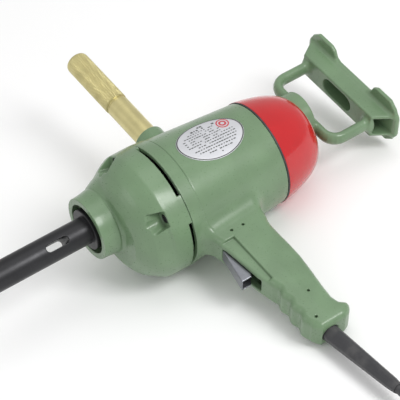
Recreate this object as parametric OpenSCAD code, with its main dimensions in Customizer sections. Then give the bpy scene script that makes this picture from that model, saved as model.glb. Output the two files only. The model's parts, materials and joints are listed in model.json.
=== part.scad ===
// Heavy pistol-grip electric power drive with a taper spindle, a side bar and a rear spade handle.
// Pieces are modelled on the motor axis (+X to the rear) and laid down on the floor by lying().

/* [Motor casing] */
// Outside diameter of the flange where the two casings meet
flange_d = 144.6; // [132:0.2:176]
// Length of the motor casing from the flange to the rear seam
barrel_len = 130.4; // [122:0.2:158]
// Outside diameter of the casing at the rear seam
seam_d = 122; // [116:0.5:130]
// Wall of the cast casings
wall = 5; // [4:0.1:6]
// Length of the raised band behind the flange
band_len = 16.2; // [10:0.2:20]
// Thickness of the seal at the rear seam
rear_gasket_t = 1.6; // [0.8:0.1:2.5]

/* [Rear cover] */
// Largest diameter of the rear cover
cover_d = 123.4; // [118:0.2:130]
// Length of the rear cover behind the seal
cover_len = 62; // [58:0.5:76]
// Wall of the rear cover
cover_wall = 3.5; // [2.5:0.1:4.5]

/* [Gear casing] */
// Air gap between the two casings
air_gap = 4.3; // [3:0.1:6]
// Length of the gear casing from the air gap to the nose face
case_len = 76.9; // [76:0.1:92]
// Outside diameter of the nose collar
collar_d = 72; // [70:0.5:80]
// Bore of the recess in the nose collar
collar_bore_d = 57.8; // [56:0.2:60]
// Depth of that recess
collar_recess = 10; // [8:0.5:11]
// Length of the true cylinder at the front of the nose collar
collar_land = 8; // [6:0.5:10]
// Clearance hole of the casing screws
casing_screw_hole_d = 6.6; // [6.2:0.1:7.2]

/* [Spindle] */
// Distance between the motor axis and the spindle axis
spindle_offset = 18; // [17.5:0.1:19.5]
// Outside diameter of the spindle nose
spindle_d = 31; // [30:0.5:36]
// Length of the spindle nose in front of the collar face
nose_len = 132.3; // [130:0.5:160]
// Diameter of the taper socket at its mouth
socket_d = 23.825; // [22:0.005:24.2]
// Length of the taper socket
socket_len = 84; // [80:0.5:90]
// Width of the drift slot
drift_slot_w = 8.3; // [6:0.1:9]
// Length of the drift slot
drift_slot_len = 27; // [22:0.5:30]
// Bore of the front spindle bearing
front_bearing_bore = 30; // [28:0.5:31]
// Outside diameter of the front spindle bearing
front_bearing_d = 55; // [50:0.5:56]

/* [Gears] */
// Module of the first gear pair
module_1 = 1; // [0.8:0.05:1.05]
// Module of the second gear pair
module_2 = 1.25; // [1.2:0.05:1.3]
// Teeth on the armature pinion
teeth_a = 11; // [10:1:12]
// Teeth on the intermediate gear
teeth_b = 45; // [40:1:46]
// Teeth on the layshaft pinion
teeth_c = 13; // [12:1:14]
// Teeth on the spindle gear
teeth_d = 52; // [50:1:54]

/* [Motor] */
// Outside diameter of the stator
stator_d = 108; // [100:0.5:112]
// Length of the stator stack
stator_len = 54; // [44:0.5:60]
// Diameter of the armature core
armature_d = 63; // [56:0.5:66]
// Air gap between the armature and the stator poles
pole_gap = 0.8; // [0.4:0.05:1.2]
// Diameter of the commutator
commutator_d = 36; // [30:0.5:40]
// Bore of the front armature bearing
armature_bearing_bore = 17; // [15:0.5:18]

/* [Grip and trigger] */
// Distance from the motor axis to the end of the grip
grip_len = 240; // [225:0.5:288]
// Thickness of the grip
grip_t = 36; // [34:0.5:43]
// Wall of the grip
grip_wall = 4; // [3:0.1:5]
// Width of the trigger
trigger_w = 15.6; // [13:0.1:17]
// Play on each side of the trigger
trigger_play = 1; // [0.5:0.1:2]
// Diameter of the trigger pin
trigger_pin_d = 4; // [3:0.1:5]

/* [Handles] */
// Diameter of the side bar
bar_d = 28; // [26:0.2:33]
// Distance from the motor axis to the end of the side bar
bar_reach = 234; // [195:0.5:280]
// Position of the side bar behind the flange
bar_x = 47; // [40:0.5:60]
// Diameter of the boss that holds the side bar
bar_boss_d = 36; // [34:0.5:42]
// Distance between the two arms of the spade handle
spade_arms = 109; // [104:0.5:131]
// Length of the spade handle behind the rear cover
spade_len = 92; // [80:0.5:112]
// Depth of the hand bar
hand_bar_depth = 27; // [22:0.5:32]
// Width of the breast plate
breast_w = 158; // [150:0.5:190]

/* [Cord] */
// Diameter of the cord
cord_d = 9.6; // [7:0.1:10]
// Largest diameter of the cord guard
guard_d = 20; // [17:0.5:23]

/* [Hidden] */
$fn = 72;

eps = 0.01;
run = 0.03;        // radial running clearance of a shaft in its bearing

flange_r = flange_d / 2;
seam_r = seam_d / 2;
cover_r = cover_d / 2;
spin_y = spindle_offset;

// Stations along the motor axis
nose_x = -air_gap - case_len;
tip_x = nose_x - nose_len;
cover_x = barrel_len + rear_gasket_t;
cover_end = cover_x + cover_len;
belly_x = cover_x + 1;

// Gear train in the plane across the axes
pair_1 = module_1 * (teeth_a + teeth_b) / 2;
pair_2 = module_2 * (teeth_c + teeth_d) / 2;
lay_y = (pow(pair_1, 2) - pow(pair_2, 2) + pow(spin_y, 2)) / (2 * spin_y);
lay_z = sqrt(pow(pair_1, 2) - pow(lay_y, 2));
lay_angle = atan2(lay_z, lay_y);
mesh_angle = atan2(lay_z, lay_y - spin_y);
tooth_top = 0.75;
tooth_root = 1.1;
tooth_play = 0.22;
tip_b = module_1 * (teeth_b / 2 + tooth_top);
tip_c = module_2 * (teeth_c / 2 + tooth_top);
tip_d = module_2 * (teeth_d / 2 + tooth_top);

// Front spindle bearing, seal and gear, stacked from the recess floor
seal_w = 8;
front_bearing_w = 13;
recess_x = nose_x + collar_recess;
seal_x = recess_x + 1;
bearing_x = seal_x + seal_w + 0.6;
gear_d_x = bearing_x + front_bearing_w + 2.5;
gear_d_w = 15.5;
seal_r = 25;
spindle_seat_r = front_bearing_bore / 2;
gear_seat_r = 12.5;
rear_journal_r = 7.5;
rear_bush_r = 10.5;
rear_bush_w = 8.5;
rear_bush_x = gear_d_x + gear_d_w + 1.5;
circlip_w = 1.2;

// First gear pair, just in front of the gear plate
gear_b_w = 10;
gear_b_x = -air_gap - 2 - gear_b_w;
pinion_a_w = 12;
pinion_a_x = -air_gap - 0.8 - pinion_a_w;
lay_journal_r = 5;
lay_body_r = 6;
lay_bush_r = 8;
lay_bush_w = 5;
lay_front_x = gear_d_x - 1 - lay_bush_w;
key_w = 6;
key_h = 6;

// Gear plate and casing screws
chamber_r = pair_1 + tip_b + 1.2;
plate_t = air_gap;
plate_r = flange_r - 12.3;
plate_screw_r = (chamber_r + plate_r) / 2;
casing_screw_r = flange_r - 7.8;
casing_screw_angle = 138;       // first screw, turned from +Y towards +Z
casing_screw_d = 6;
casing_screw_head_d = 10;
casing_screw_len = 22;
pocket_x = -air_gap - 20.7;
land_angle = 26;

// Motor
arm_bearing_r = 20;
arm_bearing_w = 12;
arm_bearing_x = -2.3;
arm_rear_r = 16;
arm_rear_w = 10;
arm_rear_bore = 12;
stator_x = 42;
coil_end = 12;
armature_r = armature_d / 2;
pole_r = armature_r + pole_gap;
arm_shaft_r = 9;
commutator_x = stator_x + stator_len + coil_end + 3.5;
commutator_w = 18;
arm_rear_x = commutator_x + commutator_w + 6;
fan_x = arm_bearing_x + arm_bearing_w + 1;
fan_w = 13;
fan_r = casing_screw_r - 8.5;
baffle_x = fan_x + fan_w + 2.6;
brush_x = commutator_x + commutator_w / 2;
brush_l = 12.5;
brush_w = 6.3;
brush_out = 22;

// Grip outline: rear edge down and front edge up, drawn at the middle of its thickness
grip_half = grip_t / 2;
grip_root_y = flange_r - 27;
trigger_top_y = 94;
trigger_slot_len = 57;
trigger_end_y = trigger_top_y + trigger_slot_len;
grip_rear = [[86, -grip_root_y], [81, -83], [77, -100], [77, -trigger_end_y], [70, 28 - grip_len],
    [78, 13 - grip_len], [74, 4 - grip_len], [66, -grip_len]];
grip_front = [[36, -grip_len], [31, 7 - grip_len], [27.5, 14 - grip_len], [29, 52 - grip_len],
    [29, 72 - grip_len], [23.5, 5 - trigger_end_y], [18, -100], [12, -76], [8, -grip_root_y]];
grip_steps = [[0, 0.5], [1.5, 0.74], [4, 0.92], [7, 1]];
cover_inset = 5.5;
cover_t = 4;
block_y = -trigger_end_y - 37;

// Trigger, in its own place on the grip
trigger_x = 23;
trigger_y = -100.5;
trigger_len = 39.5;
trigger_sheet = 1.6;
trigger_slot_w = trigger_w + 2 * trigger_play;
trigger_pull = 12;
plunger_y = trigger_y - 20;
plunger_r = 3;
plunger_x = trigger_x - 7.4;
switch_x = 36;
switch_w = 22;
switch_len = 40;

// Spade handle
hub_x = cover_end;
hub_t = 15;
hub_r = 24;
arm_rx = 5.8;
arm_rz = 7.8;
arm_bend_r = 16;
hand_x = hub_x + spade_len - hand_bar_depth;
spade_screw_r = 12;
spade_screw_d = 6;
breast_x = hand_x + hand_bar_depth;

// Side bar
bar_stud_r = 8;
bar_boss_end = 87;
bar_neck_end = 150;

// Resting pose: the flange rim, the cover's largest ring and a corner of the grip end share the floor
rest_pitch = atan((flange_r - cover_r) / belly_x);
foot_x = grip_rear[6][0] - cover_inset;
foot_y = -grip_rear[6][1];
foot_line = flange_r - foot_x * tan(rest_pitch);
rest_roll = asin(foot_line / norm([foot_y, grip_half])) - atan2(grip_half, foot_y);
rest_lift = flange_r * cos(rest_pitch);
rest_x = -37.7;
rest_y = 2.6;

// Cord guard: straight out of the grip, then level with the floor
guard_x = 47;
guard_y = -grip_len;
guard_stub = 4;
guard_len = 104;
guard_rise = 0.03;
guard_tip_d = 13.5;
guard_r = guard_d / 2 - 0.05;

function roll_y(v) = v[1] * cos(rest_roll) - v[2] * sin(rest_roll);
function roll_z(v) = v[1] * sin(rest_roll) + v[2] * cos(rest_roll);
function rest_point(v) = [rest_x + v[0] * cos(rest_pitch) + roll_z(v) * sin(rest_pitch),
    rest_y + roll_y(v), rest_lift - v[0] * sin(rest_pitch) + roll_z(v) * cos(rest_pitch)];
guard_start = rest_point([guard_x, guard_y + 11.5, 0]);
guard_face = rest_point([guard_x, guard_y, 0]);
guard_bend = rest_point([guard_x, guard_y - guard_stub, 0]);
guard_tip = guard_bend + guard_len * unit([0, -1, guard_rise]);

// Cord route on the floor after the guard, and its coil
cord_route = [[5, -354, 20], [5, -366, 16.5], [5, -378, 12], [5, -390, 8], [5, -404, 5]];
coil_centre = [58, -445];
coil_d = 106;
coil_across = 3;
coil_layers = 3;
coil_w = cord_d * coil_across;
coil_h = cord_d * coil_layers * 0.92;
tie_t = 1.4;
tie_w = 14;
plug_half_h = 13;
plug_r = 19;
plug_relief = 18;
plug_len = 32;
plug_pin_len = 17;

module lying() {
    translate([rest_x, rest_y, rest_lift])
        rotate([rest_roll, rest_pitch, 0])
            children();
}

// Turns a drawing's X and Y into the model's Y and Z, and its height into the model's X
module along_x(x = 0, y = 0, z = 0) {
    translate([x, y, z])
        rotate([90, 0, 90])
            children();
}

module rod(x, length, r, y = 0, z = 0) {
    along_x(x, y, z)
        cylinder(h = length, r = r);
}

module ring(x, length, outer, inner, y = 0, z = 0) {
    along_x(x, y, z)
        difference() {
            cylinder(h = length, r = outer);
            translate([0, 0, -1])
                cylinder(h = length + 2, r = inner);
        }
}

// Turns an outline of [x, radius] points about an axis parallel to X
module turned(points, y = 0) {
    along_x(0, y)
        rotate_extrude()
            polygon([for (p = points) [p[1], p[0]]]);
}

module casing_screw_places() {
    for (k = [0 : 3])
        rotate([casing_screw_angle + 90 * k, 0, 0])
            translate([0, casing_screw_r, 0])
                children();
}

// Swept tube of a round section along a list of points
function unit(v) = v / norm(v);
function heading(path, i) = unit(path[min(i + 1, len(path) - 1)] - path[max(i - 1, 0)]);
function side_of(h) = unit(cross(h, abs(h[2]) < 0.9 ? [0, 0, 1] : [1, 0, 0]));
function rim(path, i, r, sides) = let (h = heading(path, i), s = side_of(h), t = cross(s, h))
    [for (k = [0 : sides - 1]) path[i] + r * (cos(360 * k / sides) * s + sin(360 * k / sides) * t)];
module tube(path, r, sides) {
    n = len(path);
    rings = [for (i = [0 : n - 1]) each rim(path, i, is_list(r) ? r[i] : r, sides)];
    walls = [for (i = [0 : n - 2], k = [0 : sides - 1])
        [i * sides + k, i * sides + (k + 1) % sides, (i + 1) * sides + (k + 1) % sides,
            (i + 1) * sides + k]];
    cap_a = [for (k = [0 : sides - 1]) sides - 1 - k];
    cap_b = [for (k = [0 : sides - 1]) (n - 1) * sides + k];
    polyhedron(rings, concat([cap_a], walls, [cap_b]), convexity = 6);
}

// Smooth curve through hand-chosen points
function curve_at(p, i, t) = let (n = len(p) - 1, a = p[max(i - 1, 0)], b = p[i],
    c = p[min(i + 1, n)], d = p[min(i + 2, n)])
    0.5 * (2 * b + (c - a) * t + (2 * a - 5 * b + 4 * c - d) * t * t
        + (3 * b - a - 3 * c + d) * t * t * t);
function smooth(p, steps) = concat([for (i = [0 : len(p) - 2], k = [0 : steps - 1])
    curve_at(p, i, k / steps)], [p[len(p) - 1]]);

// Involute spur gear, one tooth centred on the drawing's X axis
function inv_point(base, roll) = [base * (cos(roll) + roll * PI / 180 * sin(roll)),
    base * (sin(roll) - roll * PI / 180 * cos(roll))];
function turn(p, a) = [p[0] * cos(a) - p[1] * sin(a), p[0] * sin(a) + p[1] * cos(a)];
function flank(base, from_r, to_r, steps) = [for (k = [0 : steps])
    let (r = max(from_r, base + eps) + (to_r - max(from_r, base + eps)) * k / steps)
        inv_point(base, sqrt(pow(r / base, 2) - 1) * 180 / PI)];
module spur_gear(teeth, mod, width, play = tooth_play) {
    pitch_r = mod * teeth / 2;
    base = pitch_r * cos(20);
    root_r = pitch_r - tooth_root * mod;
    top_r = pitch_r + tooth_top * mod;
    pitch_roll = sqrt(pow(pitch_r / base, 2) - 1) * 180 / PI;
    pitch_point = inv_point(base, pitch_roll);
    half = 90 / teeth - play / 2 / pitch_r * 90 / PI + atan2(pitch_point[1], pitch_point[0]);
    side = flank(base, root_r, top_r, 4);
    left = concat([[root_r, 0]], side);
    tooth = concat([for (p = left) turn(p, -half)],
        [for (k = [len(left) - 1 : -1 : 0]) turn([left[k][0], -left[k][1]], half)]);
    linear_extrude(height = width)
        polygon([for (i = [0 : teeth - 1]) for (p = tooth) turn(p, 360 * i / teeth)]);
}

// Outer ring, inner ring and balls of a ball bearing, standing on its low-X face
module ball_bearing(x, bore_r, outer_r, width, y = 0) {
    race = (outer_r - bore_r) * 0.28;
    pitch = (outer_r + bore_r) / 2;
    ball_r = (outer_r - bore_r) * 0.215;
    count = floor(PI * pitch / ball_r * 0.78);
    ring(x, width, outer_r, outer_r - race, y);
    ring(x, width, bore_r + race, bore_r + run, y);
    along_x(x + width / 2, y)
        for (k = [0 : count - 1])
            rotate([0, 0, 360 * k / count])
                translate([pitch, 0, 0])
                    sphere(r = ball_r, $fn = 24);
}

// Gear casing ---------------------------------------------------------------------------------------

drum = [[-air_gap, flange_r], [-air_gap - 20, flange_r - 0.2], [-air_gap - 24, flange_r - 1.1],
    [-air_gap - 32, flange_r - 5], [-air_gap - 40, flange_r - 10.2], [-air_gap - 48, flange_r - 19.4],
    [-air_gap - 54, flange_r - 31]];
shoulder = [[-air_gap - 14, 46], [-air_gap - 40, 45], [-air_gap - 48, 42.5], [-air_gap - 53, 40.5],
    [-air_gap - 56, collar_d / 2 + 2.7], [-air_gap - 62, collar_d / 2 + 1.4],
    [nose_x + collar_land, collar_d / 2], [nose_x, collar_d / 2]];

module gear_housing() {
    color("darkseagreen")
        lying() {
            difference() {
                union() {
                    turned(concat([[-air_gap, 0]], drum, [[-air_gap - 54, 0]]));
                    turned(concat([[-air_gap - 14, 0]], shoulder, [[nose_x, 0]]), spin_y);
                    for (k = [0 : 3])
                        rotate([casing_screw_angle + 90 * k - land_angle / 2, 0, 0])
                            along_x(-air_gap)
                                rotate_extrude(angle = land_angle)
                                    translate([plate_r, 0])
                                        square([flange_r - plate_r, air_gap]);
                }
                gear_chamber();
                casing_screw_places() {
                    rod(pocket_x - 1, 40, casing_screw_hole_d / 2);
                    pocket();
                }
                for (k = [0 : 2])
                    rotate([30 + 120 * k, 0, 0])
                        rod(-air_gap - 9, 10, 1.7, plate_screw_r);
            }
        }
}

// Scoop in front of a casing screw
module pocket() {
    rod(pocket_x - 42, 42, casing_screw_head_d / 2 + 3, 1);
    translate([pocket_x - 42, 0, -casing_screw_head_d / 2 - 3])
        cube([42, 30, casing_screw_head_d + 6]);
}

module gear_chamber() {
    rod(gear_d_x - 1, 60, tip_d + 1.5, spin_y);
    rod(gear_b_x - 4, 30, chamber_r);
    rod(gear_d_x - 1, 60, tip_c + 1.2, lay_y, lay_z);
    rod(lay_front_x, 20, lay_bush_r, lay_y, lay_z);
    rod(bearing_x, 40, front_bearing_d / 2, spin_y);
    rod(seal_x, 40, seal_r, spin_y);
    rod(nose_x - 1, 60, spindle_seat_r + 2.5, spin_y);
    rod(nose_x - 1, collar_recess + 1, collar_bore_d / 2, spin_y);
}

module gear_housing_screws() {
    color("dimgray")
        lying()
            casing_screw_places() {
                rod(pocket_x - 6, 6, casing_screw_head_d / 2);
                rod(pocket_x - eps, casing_screw_len - pocket_x - 2, casing_screw_d / 2);
            }
}

module gear_plate() {
    color("darkgray")
        lying()
            difference() {
                union() {
                    rod(-plate_t, plate_t, plate_r - 0.2);
                    rod(-plate_t, arm_bearing_x + arm_bearing_w + plate_t, arm_bearing_r + 4);
                    rod(-plate_t, plate_t + 5, lay_bush_r + 2.5, lay_y, lay_z);
                    rod(rear_bush_x, -rear_bush_x - eps, rear_bush_r + 2.5, spin_y);
                }
                rod(arm_bearing_x, 40, arm_bearing_r);
                rod(pinion_a_x - 1, 40, 9.5);
                rod(-plate_t - 1, plate_t + 4.8, lay_bush_r, lay_y, lay_z);
                rod(rear_bush_x - 1, rear_bush_w + 1, rear_bush_r, spin_y);
                for (k = [0 : 2])
                    rotate([30 + 120 * k, 0, 0])
                        rod(-plate_t - 1, 10, 2.2, plate_screw_r);
            }
}

module gear_plate_screws() {
    color("silver")
        lying()
            for (k = [0 : 2])
                rotate([30 + 120 * k, 0, 0]) {
                    rod(0, 2.4, 3.6, plate_screw_r);
                    rod(-air_gap - 8, air_gap + 8 + eps, 1.7, plate_screw_r);
                }
}

module oil_seal() {
    color("black")
        lying()
            ring(seal_x, seal_w, seal_r, spindle_seat_r + run, spin_y);
}

module spindle_front_bearing() {
    color("silver")
        lying()
            ball_bearing(bearing_x, spindle_seat_r, front_bearing_d / 2, front_bearing_w, spin_y);
}

module spindle_rear_bush() {
    color("goldenrod")
        lying()
            ring(rear_bush_x, rear_bush_w, rear_bush_r, rear_journal_r + run, spin_y);
}

// Spindle ---------------------------------------------------------------------------------------------

drift_angle = 122;          // direction of the drift slot, turned from +Y towards +Z past the top
socket_small_d = socket_d - socket_len * 0.0502;
drift_x = tip_x + 78;

module spindle() {
    color([0.16, 0.16, 0.17])
        lying()
            difference() {
                union() {
                    rod(tip_x, nose_x - tip_x, spindle_d / 2, spin_y);
                    rod(nose_x - 1.5, 8, 23.5, spin_y);
                    rod(nose_x, gear_d_x - nose_x - 1, spindle_seat_r, spin_y);
                    rod(gear_d_x - 2, gear_d_w + 2, gear_seat_r, spin_y);
                    rod(gear_d_x, rear_bush_x + rear_bush_w - 0.5 - gear_d_x, rear_journal_r, spin_y);
                }
                along_x(tip_x, spin_y)
                    translate([0, 0, -eps])
                        cylinder(h = socket_len, r1 = socket_d / 2, r2 = socket_small_d / 2);
                translate([drift_x, spin_y, 0])
                    rotate([drift_angle + 180, 0, 0])
                        drift_slot();
                translate([gear_d_x + 1.5, spin_y - key_w / 2, gear_seat_r - key_h / 2])
                    cube([gear_d_w - 3, key_w, key_h]);
            }
}

module drift_slot() {
    end_r = drift_slot_w / 2;
    translate([end_r, -40, -end_r])
        cube([drift_slot_len - drift_slot_w, 80, drift_slot_w]);
    for (x = [end_r, drift_slot_len - end_r])
        translate([x, 40, 0])
            rotate([90, 0, 0])
                cylinder(h = 80, r = end_r);
}

module spindle_gear() {
    color("gray")
        lying()
            difference() {
                along_x(gear_d_x, spin_y)
                    rotate([0, 0, mesh_angle])
                        spur_gear(teeth_d, module_2, gear_d_w);
                rod(gear_d_x - 1, gear_d_w + 2, gear_seat_r, spin_y);
                translate([gear_d_x - 1, spin_y - key_w / 2, 0])
                    cube([gear_d_w + 2, key_w, gear_seat_r + key_h / 2]);
            }
}

module spindle_key() {
    color("dimgray")
        lying()
            translate([gear_d_x + 1.5, spin_y - key_w / 2, gear_seat_r - key_h / 2])
                cube([gear_d_w - 3, key_w, key_h]);
}

module spindle_circlip() {
    color("dimgray")
        lying()
            ring(gear_d_x + gear_d_w, circlip_w, gear_seat_r + 2, rear_journal_r, spin_y);
}

module layshaft() {
    color("gray")
        lying() {
            along_x(gear_d_x - 0.5, lay_y, lay_z)
                rotate([0, 0, mesh_angle + 180 + 180 / teeth_c])
                    spur_gear(teeth_c, module_2, gear_d_w + 1);
            rod(lay_front_x + 0.5, gear_d_x - lay_front_x, lay_journal_r, lay_y, lay_z);
            rod(gear_d_x, gear_b_x + gear_b_w - gear_d_x, lay_body_r, lay_y, lay_z);
            rod(gear_b_x, 3.8 - gear_b_x, lay_journal_r, lay_y, lay_z);
        }
}

module intermediate_gear() {
    color("gray")
        lying()
            difference() {
                along_x(gear_b_x, lay_y, lay_z)
                    rotate([0, 0, lay_angle + 180])
                        spur_gear(teeth_b, module_1, gear_b_w);
                rod(gear_b_x - 1, gear_b_w + 2, lay_body_r, lay_y, lay_z);
                rod(gear_b_x - 1, 3.5, tip_b - 5, lay_y, lay_z);
            }
}

module layshaft_front_bush() {
    color("goldenrod")
        lying()
            ring(lay_front_x, lay_bush_w, lay_bush_r, lay_journal_r + run, lay_y, lay_z);
}

module layshaft_rear_bush() {
    color("goldenrod")
        lying()
            ring(-plate_t, plate_t + 3.8, lay_bush_r, lay_journal_r + run, lay_y, lay_z);
}

// Motor ------------------------------------------------------------------------------------------------

barrel_outer = [[0, flange_r], [band_len, flange_r - 1.4], [band_len + 0.4, flange_r - 2.2],
    [barrel_len, seam_r]];
function chamber_inner(x) = flange_r - wall - 1.3
    + (seam_r - flange_r + 1.3) * (x + 1) / (barrel_len + 2);
function barrel_r(x) = x < band_len ? flange_r - 1.4 * x / band_len : flange_r - 2.2
    + (seam_r - flange_r + 2.2) * (x - band_len - 0.4) / (barrel_len - band_len - 0.4);

module motor_housing() {
    color("darkseagreen")
        lying()
            difference() {
                union() {
                    turned(concat([[0, 0]], barrel_outer, [[barrel_len, 0]]));
                    translate([bar_x, flange_r - 24, 0])
                        rotate([-90, 0, 0])
                            cylinder(h = bar_boss_end - flange_r + 24, r = bar_boss_d / 2);
                    grip_body();
                }
                difference() {
                    turned([[-1, 0], [-1, flange_r - wall - 1.3], [barrel_len + 1, seam_r - wall],
                        [barrel_len + 1, 0]]);
                    motor_bosses();
                }
                rod(-1, barrel_len + 2, stator_d / 2);
                casing_screw_places()
                    rod(-1, casing_screw_len, casing_screw_d / 2);
                rear_bracket_places()
                    rod(barrel_len - 16, 20, 2);
                translate([bar_x, flange_r - 10, 0])
                    rotate([-90, 0, 0])
                        cylinder(h = 100, r = bar_stud_r);
                grip_hollow();
                air_slots();
            }
}

module rear_bracket_places() {
    for (k = [0 : 3])
        rotate([45 + 90 * k, 0, 0])
            translate([0, seam_r - wall - 3, 0])
                children();
}

// Screw bosses and stator ribs inside the barrel
module motor_bosses() {
    intersection() {
        turned([[0, 0], [0, flange_r - 1], [barrel_len, seam_r - 1], [barrel_len, 0]]);
        union() {
            casing_screw_places()
                rod(0, 26, 6.2);
            rear_bracket_places()
                rod(barrel_len - 20, 20, 4.5);
            for (k = [0 : 7])
                rotate([22.5 + 45 * k, 0, 0])
                    translate([stator_x, stator_d / 2 - 2, -4])
                        cube([stator_len, 30, 8]);
        }
    }
}

// Slots that draw cooling air into the rear of the barrel, on its underside
module air_slots() {
    for (k = [-2 : 2])
        rotate([-90 + 13 * k, 0, 0])
            translate([barrel_len - 24, seam_r - 14, -2])
                cube([18, 40, 4]);
}

function grip_outline(inset) = concat(
    [for (i = [0 : len(grip_rear) - 1]) grip_rear[i] - [inset, 0]
        + [0, i == len(grip_rear) - 1 ? inset : 0]],
    [for (i = [0 : len(grip_front) - 1]) grip_front[i] + [inset, i == 0 ? inset : 0]]);

module grip_body() {
    difference() {
        for (s = grip_steps)
            translate([0, 0, -grip_half * s[1]])
                linear_extrude(height = 2 * grip_half * s[1])
                    polygon(grip_outline(s[0]));
        grip_cover_blank(0.1);
    }
}

// The lid's own thickness, cut out of the grip's lower side
module grip_cover_blank(gap) {
    translate([0, 0, -grip_half - 1])
        linear_extrude(height = cover_t + 1 + gap)
            polygon(grip_outline(cover_inset - gap));
}

module grip_hollow() {
    intersection() {
        translate([0, 0, -grip_half + cover_t - 1])
            linear_extrude(height = grip_t - cover_t - grip_wall + 1)
                polygon(grip_outline(grip_wall + 4));
        translate([0, -grip_len + 12, -50])
            cube([100, grip_len - flange_r - 8, 100]);
    }
    translate([30, -flange_r - 20, -8])
        cube([34, 40, 16]);
    translate([0, -trigger_end_y, -trigger_slot_w / 2])
        cube([34, trigger_slot_len, trigger_slot_w]);
    translate([guard_x, -grip_len - 1, 0])
        rotate([-90, 0, 0])
            cylinder(h = 20, r = guard_d / 2);
    trigger_pin_hole(trigger_pin_d / 2);
    grip_screw_places()
        cylinder(h = 80, r = 1.6, center = true);
}

module trigger_pin_hole(r) {
    translate([trigger_x, trigger_y, 0])
        cylinder(h = trigger_slot_w + 8, r = r, center = true);
}

module grip_screw_places() {
    for (p = [[36, -84], [50.4, -84.6], [53, 46 - grip_len], [39, 15 - grip_len]])
        translate([p[0], p[1], 0])
            children();
}

module stator_core() {
    color("slategray")
        lying()
            difference() {
                rod(stator_x, stator_len, stator_d / 2);
                rod(stator_x - 1, stator_len + 2, pole_r);
                for (s = [0, 180])
                    rotate([s, 0, 0])
                        coil_space(stator_x - 1, stator_len + 2, 0);
            }
}

// Space between the two poles that holds the field windings
module coil_space(x, length, gap) {
    along_x(x)
        intersection() {
            difference() {
                cylinder(h = length, r = stator_d / 2 - 8 - gap);
                translate([0, 0, -1])
                    cylinder(h = length + 2, r = pole_r + 2 + gap);
            }
            rotate([0, 0, -38])
                translate([0, 0, -2])
                    linear_extrude(height = length + 4)
                        polygon([[0, 0], [90, 0], turn([90, 0], 38), turn([90, 0], 76)]);
        }
}

module field_coils() {
    color("chocolate")
        lying() {
            for (s = [0, 180])
                rotate([s, 0, 0])
                    coil_space(stator_x - 1, stator_len + 2, 0.2);
            for (x = [stator_x - coil_end, stator_x + stator_len + 0.5])
                ring(x, coil_end - 0.5, stator_d / 2 - 8.2, pole_r + 2.2);
        }
}

module air_baffle() {
    color("black")
        lying()
            difference() {
                rod(baffle_x, 2, chamber_inner(baffle_x + 2) - 0.1);
                rod(baffle_x - 1, 4, stator_d / 2 - 14);
            }
}

module armature_shaft() {
    color("silver")
        lying() {
            along_x(pinion_a_x)
                rotate([0, 0, lay_angle + 180 / teeth_a])
                    spur_gear(teeth_a, module_1, pinion_a_w);
            rod(pinion_a_x, pinion_a_w + 4, module_1 * teeth_a / 2 - tooth_root * module_1);
            rod(-plate_t, 4, 7);
            rod(arm_bearing_x, stator_x - arm_bearing_x, armature_bearing_bore / 2);
            rod(stator_x - 16, commutator_x + commutator_w + 2 - stator_x + 16, arm_shaft_r);
            rod(commutator_x, arm_rear_x + arm_rear_w - 0.5 - commutator_x, arm_rear_bore / 2);
        }
}

module armature_core() {
    color("slategray")
        lying()
            difference() {
                rod(stator_x, stator_len, armature_r);
                rod(stator_x - 1, stator_len + 2, arm_shaft_r);
                for (k = [0 : 17])
                    rotate([20 * k, 0, 0])
                        translate([stator_x - 1, armature_r - 11, -2])
                            cube([stator_len + 2, 8.5, 4]);
            }
}

module armature_windings() {
    color("chocolate")
        lying() {
            ring(stator_x - coil_end + 2, coil_end - 2, armature_r - 3, arm_shaft_r);
            ring(stator_x + stator_len, coil_end - 1, armature_r - 3, arm_shaft_r);
            for (k = [0 : 17])
                rotate([20 * k, 0, 0])
                    translate([stator_x - 1, armature_r - 10.9, -1.9])
                        cube([stator_len + 2, 7.4, 3.8]);
        }
}

module commutator() {
    color("peru")
        lying()
            difference() {
                rod(commutator_x, commutator_w, commutator_d / 2);
                rod(commutator_x - 1, commutator_w + 2, arm_shaft_r);
                for (k = [0 : 23])
                    rotate([15 * k, 0, 0])
                        translate([commutator_x - 1, commutator_d / 2 - 1, -0.3])
                            cube([commutator_w + 2, 3, 0.6]);
            }
}

module cooling_fan() {
    color("black")
        lying() {
            ring(fan_x, fan_w, 14, armature_bearing_bore / 2);
            ring(fan_x + fan_w - 2, 2, fan_r, 13);
            for (k = [0 : 14])
                rotate([24 * k, 0, 0])
                    translate([fan_x + 3, arm_bearing_r + 7, -1])
                        cube([fan_w - 4, fan_r - arm_bearing_r - 8, 2]);
        }
}

module armature_front_bearing() {
    color("silver")
        lying()
            ball_bearing(arm_bearing_x, armature_bearing_bore / 2, arm_bearing_r, arm_bearing_w);
}

module armature_rear_bearing() {
    color("silver")
        lying()
            ball_bearing(arm_rear_x, arm_rear_bore / 2, arm_rear_r, arm_rear_w);
}

// Rear end -----------------------------------------------------------------------------------------------

module rear_gasket() {
    color("black")
        lying()
            ring(barrel_len, rear_gasket_t, seam_r + 0.4, seam_r - wall + 1);
}

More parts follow.
